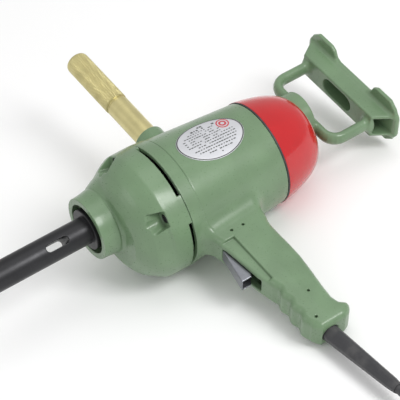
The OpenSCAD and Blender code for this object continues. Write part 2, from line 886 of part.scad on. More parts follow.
module rear_bracket() {
    seat_x = min(cover_x, arm_rear_x);
    color("darkgray")
        lying()
            difference() {
                union() {
                    rod(cover_x, 6, seam_r - cover_wall - 0.8);
                    rod(seat_x, max(cover_x + 6, arm_rear_x + arm_rear_w + 3) - seat_x,
                        arm_rear_r + 4);
                    spade_screw_places()
                        rod(cover_x, cover_len - cover_wall, spade_screw_d / 2 + 2.5);
                }
                for (k = [0 : 3])
                    rotate([90 * k, 0, 0])
                        translate([cover_x - 1, 26, -13])
                            cube([8, 22, 26]);
                rod(seat_x - 1, arm_rear_x + arm_rear_w - seat_x + 1, arm_rear_r);
                spade_screw_places()
                    rod(cover_end - 30, 40, spade_screw_d / 2);
                rear_bracket_places() {
                    rod(cover_x - 1, 20, 2.2);
                    rod(cover_x + 3, 20, 3.6);
                }
            }
}

module spade_screw_places() {
    translate([0, spin_y, 0])
        for (a = [90, 270])
            rotate([a, 0, 0])
                translate([0, spade_screw_r, 0])
                    children();
}

module rear_bracket_screws() {
    color("silver")
        lying()
            rear_bracket_places() {
                rod(cover_x + 3, 3, 3.4);
                rod(barrel_len - 12, cover_x - barrel_len + 15 + eps, 2);
            }
}

module brush_places() {
    for (s = [0, 180])
        rotate([s, 0, 0])
            children();
}

module brush_holders() {
    color("goldenrod")
        lying()
            brush_places()
                difference() {
                    union() {
                        translate([brush_x - 8.5, -5.5, commutator_d / 2 + 1.5])
                            cube([17, 11, brush_out + 10]);
                        translate([brush_x + 6, -9, commutator_d / 2 + 13])
                            cube([cover_x - brush_x - 6, 18, 12]);
                    }
                    translate([brush_x - brush_l / 2, -brush_w / 2, 0])
                        cube([brush_l, brush_w, commutator_d / 2 + brush_out + 9]);
                }
}

module carbon_brushes() {
    color("black")
        lying()
            brush_places()
                intersection() {
                    translate([brush_x - brush_l / 2, -brush_w / 2, 10])
                        cube([brush_l, brush_w, commutator_d / 2 - 10 + brush_out]);
                    ring(brush_x - 20, 40, 90, commutator_d / 2 + 0.2);
                }
}

module brush_springs() {
    color("silver")
        lying()
            brush_places()
                translate([brush_x, 0, commutator_d / 2 + brush_out + 0.4])
                    tube(spring_path(2.4, 8, 4), 0.35, 6);
}

function spring_path(r, height, turns) = [for (i = [0 : 12 * turns])
    [r * cos(30 * i), r * sin(30 * i), height * i / (12 * turns)]];

cover_curve = [for (a = [0 : 12.5 : 75])
    [belly_x + (cover_end - belly_x) * pow(sin(a), 1.67), cover_r * pow(cos(a), 0.4)]];

module rear_cover() {
    color("firebrick")
        lying()
            difference() {
                turned(concat([[cover_x, 0], [cover_x, seam_r + 0.3]], cover_curve,
                    [[cover_end, hub_r + 4], [cover_end, 0]]));
                turned(concat([[cover_x - 1, 0], [cover_x - 1, seam_r - cover_wall]],
                    [for (p = cover_curve) if (p[0] < cover_end - 6) [p[0] - 1.5, p[1] - cover_wall]],
                    [[cover_end - cover_wall, hub_r + 6], [cover_end - cover_wall, 0]]));
                spade_screw_places()
                    rod(cover_end - 20, 40, spade_screw_d / 2 + 0.3);
            }
}

// Section of an arm of the spade handle
arm_section = [for (a = [0 : 15 : 345]) [arm_rx * cos(a), arm_rz * sin(a)]];

module spade_handle() {
    half = spade_arms / 2;
    color("darkseagreen")
        lying()
            translate([0, spin_y, 0])
                difference() {
                    union() {
                        rod(hub_x, hub_t, hub_r);
                        for (s = [-1, 1])
                            scale_side(s)
                                spade_arm(half);
                        translate([hand_x, -half - arm_rx, -16])
                            cube([hand_bar_depth, spade_arms + 2 * arm_rx, 32]);
                        breast_plate();
                    }
                    hand_slot();
                    translate([0, -spin_y, 0])
                        spade_screw_places() {
                            rod(hub_x - 1, 40, spade_screw_d / 2 + 0.3);
                            rod(hub_x + hub_t - 8, 30, spade_screw_d * 0.85 + 0.4);
                        }
                }
}

module scale_side(s) {
    mirror([0, s < 0 ? 1 : 0, 0])
        children();
}

module spade_arm(half) {
    x0 = hub_x + hub_t + 0.5;
    translate([x0, 0, 0])
        rotate([-90, 0, 0])
            linear_extrude(height = half - arm_bend_r)
                polygon(arm_section);
    translate([x0 + arm_bend_r, half - arm_bend_r, 0])
        rotate([0, 0, 90])
            rotate_extrude(angle = 90)
                translate([arm_bend_r, 0])
                    polygon(arm_section);
    along_x(x0 + arm_bend_r, half, 0)
        linear_extrude(height = hand_x - x0 - arm_bend_r + 4)
            polygon(arm_section);
}

// Long slot in the front of the hand bar, open into its hollow
module hand_slot() {
    for (y = [-14, 14])
        rod(hand_x - 1, hand_bar_depth - 4, 10.5, y);
    translate([hand_x - 1, -14, -10.5])
        cube([hand_bar_depth - 4, 28, 21]);
}

module breast_plate() {
    tip = breast_w / 2;
    top = [[26, 16], [31, 19], [35, 27.5], [41, 31.5], [tip - 15, 31.5], [tip - 5, 23], [tip, 11]];
    half = concat([[-1, 16]], top, [for (i = [len(top) - 1 : -1 : 0]) [top[i][0], -top[i][1]]],
        [[-1, -16]]);
    for (s = [-1, 1])
        scale_side(s)
            along_x(breast_x - 5)
                linear_extrude(height = 5)
                    polygon(half);
}

module spade_handle_screws() {
    color("dimgray")
        lying()
            spade_screw_places() {
                rod(hub_x + hub_t - 8, spade_screw_d, spade_screw_d * 0.85);
                rod(cover_end - 24, hub_t + 17, spade_screw_d / 2);
            }
}

module side_handle() {
    start = bar_boss_end;
    color("palegoldenrod")
        lying()
            translate([bar_x, 0, 0])
                rotate([-90, 0, 0]) {
                    translate([0, 0, flange_r - 9])
                        cylinder(h = start - flange_r + 10, r = bar_stud_r);
                    translate([0, 0, start])
                        cylinder(h = bar_neck_end - start, r = bar_d / 2 - 0.5);
                    translate([0, 0, bar_neck_end])
                        cylinder(h = bar_reach - bar_neck_end - 2, r = bar_d / 2);
                    translate([0, 0, bar_reach - 2])
                        cylinder(h = 2, r1 = bar_d / 2, r2 = bar_d / 2 - 2);
                }
}

plate_len = 81;
plate_w = 54;
plate_x = 28;
badge_t = 0.8;

module rating_plate() {
    color("lightgray")
        lying()
            intersection() {
                difference() {
                    turned([[band_len + 2, 0], [band_len + 2, barrel_r(band_len + 2) + badge_t],
                        [barrel_len, seam_r + badge_t], [barrel_len, 0]]);
                    turned(concat([[0, 0]], barrel_outer, [[barrel_len + 1, seam_r], [barrel_len + 1, 0]]));
                }
                translate([plate_x + plate_len / 2, 0.5, 0])
                    linear_extrude(height = 100)
                        polygon([for (a = [0 : 7.5 : 352.5])
                            [plate_len / 2 * cos(a), plate_w / 2 * sin(a)]]);
            }
}

// Grip, trigger and switch ---------------------------------------------------------------------------------

module grip_cover() {
    color("darkseagreen")
        lying()
            difference() {
                intersection() {
                    translate([0, 0, -grip_half])
                        linear_extrude(height = cover_t)
                            polygon(grip_outline(cover_inset));
                    translate([0, -grip_len - 1, -50])
                        cube([100, grip_len - flange_r + 8, 100]);
                }
                turned([[-1, 0], [-1, flange_r + 0.3], [barrel_len, seam_r + 0.3], [barrel_len, 0]]);
                turned(concat([[0, 0]], barrel_outer, [[barrel_len, 0]]));
                grip_screw_places()
                    translate([0, 0, -grip_half - 1])
                        cylinder(h = 10, r = 1.9);
                grip_screw_places()
                    translate([0, 0, -grip_half - 1])
                        cylinder(h = 3, r = 3.4);
            }
}

module grip_cover_screws() {
    color("silver")
        lying()
            grip_screw_places() {
                translate([0, 0, -grip_half + 0.4])
                    cylinder(h = 1.6, r = 3.1);
                translate([0, 0, -grip_half + 1])
                    cylinder(h = grip_t - 6, r = 1.6);
            }
}

// Outline of the trigger's side, from its pivot
trigger_side = [[-6.6, 5.5], [3, 6], [4.5, -6], [5, -28], [-2, -trigger_len], [-14.5, -trigger_len]];

module trigger() {
    half = trigger_w / 2;
    color("lightslategray")
        lying()
            translate([trigger_x, trigger_y, 0])
                difference() {
                    translate([0, 0, -half])
                        linear_extrude(height = trigger_w)
                            polygon(trigger_side);
                    translate([trigger_sheet, -trigger_len - 1, trigger_sheet - half])
                        linear_extrude(height = trigger_w - 2 * trigger_sheet)
                            polygon([[-6.9, trigger_len + 4.9], [-14.7, 0], [20, 0],
                                [20, trigger_len + 4.9]]);
                    cylinder(h = 40, r = trigger_pin_d / 2 + run, center = true);
                }
}

module trigger_pin() {
    color("silver")
        lying()
            trigger_pin_hole(trigger_pin_d / 2);
}

module trigger_spring() {
    color("silver")
        lying()
            translate([trigger_x, trigger_y, -5])
                tube(spring_path(trigger_pin_d / 2 + 0.9, 10, 6), 0.35, 6);
}

module switch_body() {
    color("dimgray")
        lying()
            difference() {
                translate([switch_x, plunger_y - switch_len / 2 - 4, -9])
                    cube([switch_w, switch_len, 18]);
                translate([switch_x - 1, plunger_y, 0])
                    rotate([0, 90, 0])
                        cylinder(h = 14, r = plunger_r + run);
            }
}

module switch_plunger() {
    color("white")
        lying()
            translate([plunger_x, plunger_y, 0])
                rotate([0, 90, 0])
                    cylinder(h = switch_x - plunger_x + 4, r = plunger_r);
}

module capacitor() {
    color("goldenrod")
        lying()
            translate([58, -trigger_end_y - 8, -6])
                rotate([90, 0, 0])
                    cylinder(h = 24, r = 6);
}

module terminal_block() {
    color("ivory")
        lying()
            difference() {
                translate([39, block_y, -10])
                    cube([11, 24, 9]);
                for (k = [0 : 2])
                    translate([44.5, block_y + 4 + 8 * k, -5])
                        cylinder(h = 10, r = 2);
            }
}

module clamp_screw_places() {
    for (s = [-1, 1])
        translate([guard_x + s * (cord_d / 2 + 2.9), 22 - grip_len, 0])
            children();
}

module cord_clamp() {
    color("dimgray")
        lying()
            difference() {
                translate([guard_x - cord_d / 2 - 5.5, 17.5 - grip_len, -grip_half + cover_t])
                    cube([cord_d + 11, 9, grip_half - cover_t - cord_d / 2 + 4]);
                translate([guard_x, 30 - grip_len, 0])
                    rotate([90, 0, 0])
                        cylinder(h = 20, r = cord_d / 2 + 1);
                clamp_screw_places()
                    cylinder(h = 60, r = 1.6, center = true);
            }
}

module cord_clamp_screws() {
    color("silver")
        lying()
            clamp_screw_places()
                translate([0, 0, -grip_half + cover_t + 1])
                    cylinder(h = grip_half - cover_t + 1.5, r = 1.6);
}

// Cord -------------------------------------------------------------------------------------------------

module cord_guard() {
    color("dimgray")
        tube([guard_start, guard_face, guard_bend, guard_tip],
            [guard_r, guard_r, guard_r, guard_tip_d / 2], 24);
}

module power_cord() {
    color("dimgray")
        tube(smooth(concat([guard_tip], cord_route), 3), cord_d / 2, 12);
}

// The wound turns, with the end of the cord rising over them to the plug
module cord_coil() {
    color("dimgray")
        translate([coil_centre[0], coil_centre[1], 0]) {
            rotate_extrude()
                translate([(coil_d - coil_w) / 2, 0])
                    square([coil_w, coil_h]);
            rotate([0, 0, -150])
                rotate_extrude(angle = 60)
                    translate([(coil_d - cord_d) / 2, coil_h - eps])
                        square([cord_d, plug_half_h + cord_d / 2]);
        }
}

module cord_tie() {
    half = coil_w / 2;
    color("black")
        translate([coil_centre[0] + coil_d / 2, coil_centre[1], 0])
            difference() {
                translate([-half - tie_t, -tie_w / 2, 0])
                    cube([coil_w + 2 * tie_t, tie_w, coil_h + tie_t]);
                rotate_about_coil()
                    translate([(coil_d - coil_w) / 2, -1])
                        square([coil_w, coil_h + 1]);
            }
}

module rotate_about_coil() {
    translate([-coil_d / 2, 0, 0])
        rotate_extrude()
            children();
}

module at_plug(x = 0) {
    translate([coil_centre[0] + x, coil_centre[1] - coil_d / 2, coil_h + plug_half_h])
        rotate([90, 0, 90])
            children();
}

module plug_body() {
    color("dimgray") {
        at_plug()
            cylinder(h = plug_relief + eps, r1 = cord_d / 2 + 1.5, r2 = cord_d / 2 + 3.5);
        difference() {
            intersection() {
                at_plug(plug_relief)
                    cylinder(h = plug_len, r = plug_r);
                at_plug(plug_relief)
                    translate([-plug_r, -plug_half_h, 0])
                        cube([2 * plug_r, 2 * plug_half_h, plug_len]);
            }
            plug_pins();
        }
    }
}

module plug_pins() {
    color("gold") {
        for (s = [-1, 1])
            at_plug(plug_relief + plug_len)
                translate([9.5 * s, -4.5, -6])
                    cylinder(h = plug_pin_len + 6, r = 2.5);
        at_plug(plug_relief + plug_len)
            translate([0, 6.5, -6])
                cylinder(h = plug_pin_len + 9, r = 3.5);
    }
}

gear_housing();
gear_housing_screws();
gear_plate();
gear_plate_screws();
oil_seal();
spindle();
spindle_front_bearing();
spindle_rear_bush();
spindle_gear();
spindle_key();
spindle_circlip();
layshaft();
intermediate_gear();
layshaft_front_bush();
layshaft_rear_bush();
motor_housing();
stator_core();
field_coils();
air_baffle();
armature_shaft();
armature_core();
armature_windings();
commutator();
cooling_fan();
armature_front_bearing();
armature_rear_bearing();
rear_gasket();
rear_bracket();
rear_bracket_screws();
brush_holders();
carbon_brushes();
brush_springs();
rear_cover();
spade_handle();
spade_handle_screws();
side_handle();
rating_plate();
grip_cover();
grip_cover_screws();
trigger();
trigger_pin();
trigger_spring();
switch_body();
switch_plunger();
capacitor();
terminal_block();
cord_clamp();
cord_clamp_screws();
cord_guard();
power_cord();
cord_coil();
cord_tie();
plug_body();
plug_pins();
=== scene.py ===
"""Looks of a heavy pistol-grip power drive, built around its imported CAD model.

The tool lies on the floor at a slant, so its pieces are shaped in the tool's own axes, in
millimetres: x runs back along the motor axis from the joint between the two castings, y towards the
side bar and z out of the label side. ToolFrame reads those axes from the joints and turns points
into row metres.
"""

from __future__ import annotations

import json
import logging
import math
from dataclasses import dataclass, field
from enum import Enum
from typing import Any, Callable, Iterable, Sequence

import bpy
import numpy as np
from mathutils import Matrix, Vector

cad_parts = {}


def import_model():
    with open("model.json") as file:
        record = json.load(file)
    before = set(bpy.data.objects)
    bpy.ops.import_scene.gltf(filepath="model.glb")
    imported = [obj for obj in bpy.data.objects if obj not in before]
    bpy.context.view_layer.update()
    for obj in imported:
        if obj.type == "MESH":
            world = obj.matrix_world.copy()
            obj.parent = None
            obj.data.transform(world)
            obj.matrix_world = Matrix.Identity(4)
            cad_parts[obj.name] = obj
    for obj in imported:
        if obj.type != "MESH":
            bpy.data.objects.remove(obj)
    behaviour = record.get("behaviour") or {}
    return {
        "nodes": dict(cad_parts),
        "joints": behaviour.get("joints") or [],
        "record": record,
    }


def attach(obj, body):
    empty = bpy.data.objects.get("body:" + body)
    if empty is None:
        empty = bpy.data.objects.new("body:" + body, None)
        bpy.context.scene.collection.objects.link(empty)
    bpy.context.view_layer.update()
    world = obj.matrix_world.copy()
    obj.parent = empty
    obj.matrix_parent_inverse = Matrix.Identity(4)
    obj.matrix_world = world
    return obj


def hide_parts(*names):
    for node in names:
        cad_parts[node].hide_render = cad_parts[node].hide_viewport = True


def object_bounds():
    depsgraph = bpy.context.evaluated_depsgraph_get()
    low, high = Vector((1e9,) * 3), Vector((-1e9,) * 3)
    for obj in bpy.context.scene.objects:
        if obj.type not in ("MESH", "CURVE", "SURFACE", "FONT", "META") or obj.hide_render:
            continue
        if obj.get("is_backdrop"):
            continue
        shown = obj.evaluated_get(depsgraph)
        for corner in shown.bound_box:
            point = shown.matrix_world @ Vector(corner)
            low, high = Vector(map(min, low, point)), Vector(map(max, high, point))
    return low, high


LOG = logging.getLogger("power_drive")
MM = 0.001
Rgb = tuple[float, float, float]
Array = np.ndarray
Mesh = tuple[Array, list[list[int]]]
Field = Callable[[Array, Array, Array], Array]


class Body(Enum):
    """The CAD bodies that pieces ride on."""

    CASING = "casing"
    SPINDLE = "spindle_set"
    TRIGGER = "trigger_lever"


class Recess(Enum):
    """The drives that a screw head may have."""

    HEX_SOCKET = 6
    CROSS = 4


def srgb(red: int, green: int, blue: int) -> Rgb:
    """A display colour, 0 to 255, as the linear values that a shader takes."""
    return tuple(
        c / 12.92 if c <= 0.04045 else ((c + 0.055) / 1.055) ** 2.4
        for c in (red / 255, green / 255, blue / 255)
    )


@dataclass(frozen=True)
class ToolFrame:
    """The tool's own axes, as they lie in the row frame.

    origin is in metres, and the rows of axes are the tool's x, y and z directions.
    """

    origin: Array
    axes: Array

    @classmethod
    def from_joints(
        cls, joints: list[dict[str, Any]], pivot: tuple[float, float]
    ) -> "ToolFrame":
        """Finds the axes from the motor's and the trigger's hinges.

        Args:
            joints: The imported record's joints.
            pivot: Where the trigger's pin stands, in the tool's x and y, in millimetres.

        Returns:
            The frame that every piece is placed with.
        """
        named = {joint["name"]: joint for joint in joints}
        along = np.array(named["armature_spin"]["axis"], float)
        across = np.array(named["trigger_pull"]["axis"], float)
        axes = np.array([along, np.cross(across, along), across])
        pin = np.array(named["trigger_pull"]["pos_m"], float)
        return cls(pin - np.array([*pivot, 0.0]) @ axes * MM, axes)

    def place(self, points: Array) -> Array:
        """Points in the tool's millimetres, as points in row metres."""
        return self.origin + np.asarray(points, float) @ self.axes * MM

    def matrix(self) -> Matrix:
        """The matrix that takes tool metres to row metres."""
        turned = Matrix(self.axes.T.tolist()).to_4x4()
        turned.translation = Vector(self.origin.tolist())
        return turned


# Materials ----------------------------------------------------------------------------


class Value:
    """A number socket that adds Math nodes when it is used in an expression."""

    def __init__(self, owner: "Tree", socket: bpy.types.NodeSocket) -> None:
        """Keeps the tree that owns the socket, and the socket."""
        self.owner = owner
        self.socket = socket

    def _math(self, operation: str, *terms: Any) -> "Value":
        """One Math node on the terms, which are values or numbers."""
        return self.owner.node(
            "ShaderNodeMath", {"operation": operation}, dict(enumerate(terms))
        )

    def __add__(self, other: Any) -> "Value":
        """self + other."""
        return self._math("ADD", self, other)

    __radd__ = __add__

    def __sub__(self, other: Any) -> "Value":
        """self - other."""
        return self._math("SUBTRACT", self, other)

    def __rsub__(self, other: Any) -> "Value":
        """other - self."""
        return self._math("SUBTRACT", other, self)

    def __mul__(self, other: Any) -> "Value":
        """self * other."""
        return self._math("MULTIPLY", self, other)

    __rmul__ = __mul__

    def __truediv__(self, other: Any) -> "Value":
        """self / other."""
        return self._math("DIVIDE", self, other)

    def __pow__(self, other: Any) -> "Value":
        """self to the power of other."""
        return self._math("POWER", self, other)

    def sine(self) -> "Value":
        """The sine of the value, in radians."""
        return self._math("SINE", self)

    def cosine(self) -> "Value":
        """The cosine of the value, in radians."""
        return self._math("COSINE", self)

    def absolute(self) -> "Value":
        """The value without its sign."""
        return self._math("ABSOLUTE", self)

    def fraction(self) -> "Value":
        """What the value has over its whole part."""
        return self._math("FRACT", self)

    def lesser(self, other: Any) -> "Value":
        """The smaller of self and other."""
        return self._math("MINIMUM", self, other)

    def below(self, other: Any) -> "Value":
        """1 where self is less than other, else 0."""
        return self._math("LESS_THAN", self, other)

    def above(self, other: Any) -> "Value":
        """1 where self is more than other, else 0."""
        return self._math("GREATER_THAN", self, other)

    def ramp(self, low: float, high: float) -> "Value":
        """0 below low, 1 above high, and smooth between them."""
        return self.owner.node(
            "ShaderNodeMapRange",
            {"interpolation_type": "SMOOTHSTEP"},
            {"Value": self, "From Min": low, "From Max": high},
        )


class Tree:
    """A node tree, of a material or of geometry, with short ways to add and link nodes."""

    def __init__(self, tree: bpy.types.NodeTree) -> None:
        """Keeps the tree."""
        self.tree = tree

    def node(
        self,
        kind: str,
        settings: dict[str, Any] | None = None,
        inputs: dict[Any, Any] | None = None,
        output: int | str = 0,
    ) -> Value:
        """Adds one node.

        Args:
            kind: The node's type.
            settings: Its own settings, set before its sockets.
            inputs: Values, numbers or colours for its sockets, by name or place.
            output: The output that the result stands for.

        Returns:
            That output as a value.
        """
        made = self.tree.nodes.new(kind)
        for key, setting in (settings or {}).items():
            setattr(made, key, setting)
        for key, given in (inputs or {}).items():
            self.link(made.inputs[key], given)
        return Value(self, made.outputs[output])

    def link(self, socket: bpy.types.NodeSocket, given: Any) -> None:
        """Feeds a socket from a value, or sets it to a number or a colour."""
        if isinstance(given, Value):
            self.tree.links.new(given.socket, socket)
        elif isinstance(given, tuple) and len(given) == 3 and socket.type == "RGBA":
            socket.default_value = (*given, 1.0)
        else:
            socket.default_value = given


class Shader(Tree):
    """A material's node tree around one Principled shader."""

    def __init__(self, name: str, tool: ToolFrame) -> None:
        """Makes the material, with its Principled shader on the output.

        Args:
            name: The material's name.
            tool: The frame that along_tool turns to.
        """
        self.material = bpy.data.materials.new(name)
        self.material.use_nodes = True
        super().__init__(self.material.node_tree)
        self.tool = tool
        self.surface = self.tree.nodes["Principled BSDF"]

    def set(self, name: str, given: Any) -> None:
        """Feeds or sets one of the Principled shader's sockets."""
        self.link(self.surface.inputs[name], given)

    def here(self) -> Value:
        """Object coordinates, in row metres."""
        return self.node("ShaderNodeTexCoord", output="Object")

    def along_tool(self, stretch: Rgb = (1.0, 1.0, 1.0)) -> Value:
        """Object coordinates turned into the tool's axes and stretched along them.

        Args:
            stretch: How much each axis is stretched.

        Returns:
            The coordinates, as a value.
        """
        back = self.tool.matrix().inverted()
        turned = self.node(
            "ShaderNodeMapping",
            {"vector_type": "POINT"},
            {
                "Vector": self.here(),
                "Location": tuple(back.translation),
                "Rotation": tuple(back.to_euler()),
            },
        )
        return self.node(
            "ShaderNodeVectorMath",
            {"operation": "MULTIPLY"},
            {0: turned, 1: stretch},
        )

    def noise(self, scale: float, detail: float = 3.0, at: Value | None = None) -> Value:
        """Noise from 0 to 1, with scale features to the metre."""
        return self.node(
            "ShaderNodeTexNoise",
            {"noise_dimensions": "3D"},
            {"Vector": at or self.here(), "Scale": scale, "Detail": detail},
        )

    def cells(self, scale: float) -> Value:
        """The distance to the nearest of scattered points, scale of them to the metre."""
        return self.node(
            "ShaderNodeTexVoronoi",
            {"feature": "F1"},
            {"Vector": self.here(), "Scale": scale},
            "Distance",
        )

    def edges(self) -> Value:
        """About 0.5 on a flat place, above it on an edge and below it in a corner."""
        return self.node("ShaderNodeNewGeometry", output="Pointiness")

    def blend(self, mask: Any, first: Any, second: Any) -> Value:
        """The first colour where mask is 0, and the second where it is 1."""
        return self.node(
            "ShaderNodeMix",
            {"data_type": "RGBA"},
            {0: mask, 6: first, 7: second},
            2,
        )

    def bump(self, height: Value, depth: float) -> None:
        """Raises the surface by height times depth, in metres."""
        raised = self.node(
            "ShaderNodeBump",
            inputs={"Height": height, "Distance": depth, "Strength": 1.0},
            output="Normal",
        )
        self.set("Normal", raised)


@dataclass(frozen=True)
class Finish:
    """A finish's name, colour and gloss. Each kind of finish adds what varies over the surface.

    coat is the weight of a clear layer, and uneven how far the colour wanders from place to place.
    """

    name: str
    color: Rgb
    roughness: float
    metallic: float = 0.0
    coat: float = 0.0
    uneven: float = 0.08

    def material(self, tool: ToolFrame) -> bpy.types.Material:
        """The finish's material, made the first time that it is asked for.

        Args:
            tool: The frame for what follows the tool.

        Returns:
            The material.
        """
        made = bpy.data.materials.get(self.name)
        if made is None:
            shader = Shader(self.name, tool)
            shader.set("Base Color", self.color)
            shader.set("Roughness", self.roughness)
            shader.set("Metallic", self.metallic)
            shader.set("Coat Weight", self.coat)
            self.dress(shader)
            made = shader.material
        return made

    def tinted(self, amount: float) -> Rgb:
        """The colour made lighter by amount, or darker where it is below 0."""
        return tuple(min(1.0, max(0.0, c * (1 + amount))) for c in self.color)

    def dress(self, shader: Shader) -> None:
        """Adds the wandering colour and gloss that any finish has.

        Args:
            shader: The shader to dress.
        """
        patch = shader.noise(35.0)
        shader.set(
            "Base Color",
            shader.blend(patch, self.tinted(-self.uneven), self.tinted(self.uneven)),
        )
        shader.set("Roughness", self.roughness + (patch - 0.5) * 0.12)


@dataclass(frozen=True)
class CastEnamel(Finish):
    """Enamel sprayed on a sand casting: soft ripples, worn edges, and painted shade with soiling
    that darkens the corners.
    """

    ripple: float = 0.00022
    worn: Rgb = (0.42, 0.5, 0.4)
    # The colour that corners and hollows are darkened to, as painted shade with soiling; chips take
    # it too.
    shade_grime_color: Rgb = (0.05, 0.075, 0.04)

    def dress(self, shader: Shader) -> None:
        """Adds the casting's texture under the paint, what use has done to it, and painted shade in
        its corners.

        Args:
            shader: The shader to dress.
        """
        broad, fine = shader.noise(28.0, 4.0), shader.noise(420.0, 2.0)
        paint = shader.blend(
            broad.ramp(0.32, 0.7), self.tinted(-self.uneven), self.tinted(self.uneven)
        )
        edge = shader.edges()
        rubbed = edge.ramp(0.53, 0.62) * (0.25 + 0.55 * shader.noise(160.0))
        # Painted shade: corners and hollows, found by low pointiness, darken towards the shade
        # colour, partly as soiling.
        hollow_shade_and_grime = (1 - edge.ramp(0.40, 0.485)) * (0.35 + 0.5 * shader.noise(90.0))
        speck = shader.cells(230.0)
        chipped = (1 - speck.ramp(0.05, 0.09)) * broad.ramp(0.5, 0.72) * 0.2
        paint = shader.blend(rubbed, paint, self.worn)
        paint = shader.blend(hollow_shade_and_grime, paint, self.shade_grime_color)
        paint = shader.blend(chipped, paint, self.shade_grime_color)
        shader.set("Base Color", paint)
        shader.set("Roughness", self.roughness + (fine - 0.5) * 0.16 + hollow_shade_and_grime * 0.2)
        shader.bump(broad * 2.2 + fine * 0.1 + speck * 0.12, self.ripple)


@dataclass(frozen=True)
class GlossPaint(Finish):
    """A thick gloss coat that has flowed out almost flat."""

    def dress(self, shader: Shader) -> None:
        """Adds the coat's long waves, a few fine specks and its gloss.

        Args:
            shader: The shader to dress.
        """
        wave, speck = shader.noise(60.0, 2.0), shader.cells(160.0)
        spot = 1 - speck.ramp(0.03, 0.055)
        paint = shader.blend(wave, self.tinted(-self.uneven), self.tinted(self.uneven))
        shader.set("Base Color", shader.blend(spot * 0.35, paint, self.tinted(-0.6)))
        shader.set("Roughness", self.roughness + wave * 0.08)
        shader.bump(wave + speck * 0.04, 0.0001)


@dataclass(frozen=True)
class TurnedMetal(Finish):
    """Metal off a lathe: fine rings round an axis of the tool, under smudges.

    stretch is largest along the axis that the rings stand across.
    """

    stretch: Rgb = (60.0, 1.0, 1.0)
    rings: float = 60.0
    mark: Rgb = (0.2, 0.2, 0.2)

    def dress(self, shader: Shader) -> None:
        """Adds the tool marks, smudges and rubbed edges.

        Args:
            shader: The shader to dress.
        """
        lines = shader.noise(self.rings, 3.0, shader.along_tool(self.stretch))
        smudge = shader.noise(45.0, 4.0)
        rubbed = shader.edges().ramp(0.52, 0.6) * 0.4
        metal = shader.blend(
            smudge.ramp(0.35, 0.75), self.tinted(self.uneven), self.tinted(-self.uneven)
        )
        metal = shader.blend(lines.ramp(0.55, 0.8) * 0.35, metal, self.mark)
        shader.set("Base Color", shader.blend(rubbed, metal, self.tinted(0.5)))
        shader.set("Roughness", self.roughness + (smudge - 0.5) * 0.2 + lines * 0.08)
        shader.bump(lines + smudge * 0.3, 0.00004)


@dataclass(frozen=True)
class PressedSteel(Finish):
    """Rolled sheet that has been punched and folded: long scratches and dull stains."""

    def dress(self, shader: Shader) -> None:
        """Adds the rolling scratches, stains and bright worn edges.

        Args:
            shader: The shader to dress.
        """
        scratch = shader.noise(55.0, 4.0, shader.along_tool((14.0, 1.0, 14.0)))
        stain = shader.noise(120.0, 4.0)
        edge = shader.edges().ramp(0.52, 0.6)
        metal = shader.blend(stain, self.tinted(-0.35), self.tinted(0.25))
        shader.set("Base Color", shader.blend(edge * 0.6, metal, self.tinted(0.6)))
        shader.set("Roughness", self.roughness + (stain - 0.5) * 0.25)
        shader.bump(scratch + stain * 0.5, 0.00005)


@dataclass(frozen=True)
class Rubber(Finish):
    """Extruded or moulded rubber: a dull bloom, dust and a fine skin."""

    dust: Rgb = (0.16, 0.155, 0.15)

    def dress(self, shader: Shader) -> None:
        """Adds the bloom, the dust and the skin.

        Args:
            shader: The shader to dress.
        """
        bloom, skin = shader.noise(50.0, 4.0), shader.noise(900.0, 2.0)
        shader.set(
            "Base Color",
            shader.blend(bloom.ramp(0.45, 0.85) * 0.45, self.color, self.dust),
        )
        shader.set("Roughness", self.roughness + (bloom - 0.5) * 0.2)
        shader.bump(skin + bloom * 0.8, 0.00006)


@dataclass(frozen=True)
class Moulded(Finish):
    """Spark-eroded moulding texture on a plastic part."""

    grain: float = 1100.0

    def dress(self, shader: Shader) -> None:
        """Adds the moulded grain and a slight unevenness.

        Args:
            shader: The shader to dress.
        """
        grain, patch = shader.noise(self.grain, 2.0), shader.noise(40.0)
        shader.set(
            "Base Color",
            shader.blend(patch, self.tinted(-self.uneven), self.tinted(self.uneven)),
        )
        shader.set("Roughness", self.roughness + (grain - 0.5) * 0.15)
        shader.bump(grain, 0.00005)


@dataclass(frozen=True)
class Stacked(Finish):
    """Thin sheets or wires side by side, in stripes across the motor axis."""

    stripes: float = 1000.0

    def dress(self, shader: Shader) -> None:
        """Adds the stripes, as colour and as relief.

        Args:
            shader: The shader to dress.
        """
        axis = shader.node(
            "ShaderNodeSeparateXYZ", inputs={"Vector": shader.along_tool()}
        )
        stripe = (axis * (self.stripes * 2 * math.pi)).sine() * 0.5 + 0.5
        patch = shader.noise(70.0)
        dull = shader.blend(patch, self.tinted(-0.3), self.tinted(0.15))
        shader.set("Base Color", shader.blend(stripe * 0.5, self.tinted(-0.55), dull))
        shader.bump(stripe, 0.00012)


@dataclass(frozen=True)
class Foil(Finish):
    """Thin printed foil: rolled grain, a silver sheen and thumb marks."""

    def dress(self, shader: Shader) -> None:
        """Adds the grain and the marks.

        Args:
            shader: The shader to dress.
        """
        grain = shader.noise(80.0, 3.0, shader.along_tool((1.0, 22.0, 1.0)))
        thumb = shader.noise(65.0, 4.0)
        foil = shader.blend(thumb, self.tinted(-0.12), self.tinted(0.1))
        shader.set("Base Color", shader.blend(grain.ramp(0.5, 0.8) * 0.2, foil, self.tinted(-0.3)))
        shader.set("Roughness", self.roughness + (thumb - 0.5) * 0.18)
        shader.bump(grain, 0.00003)


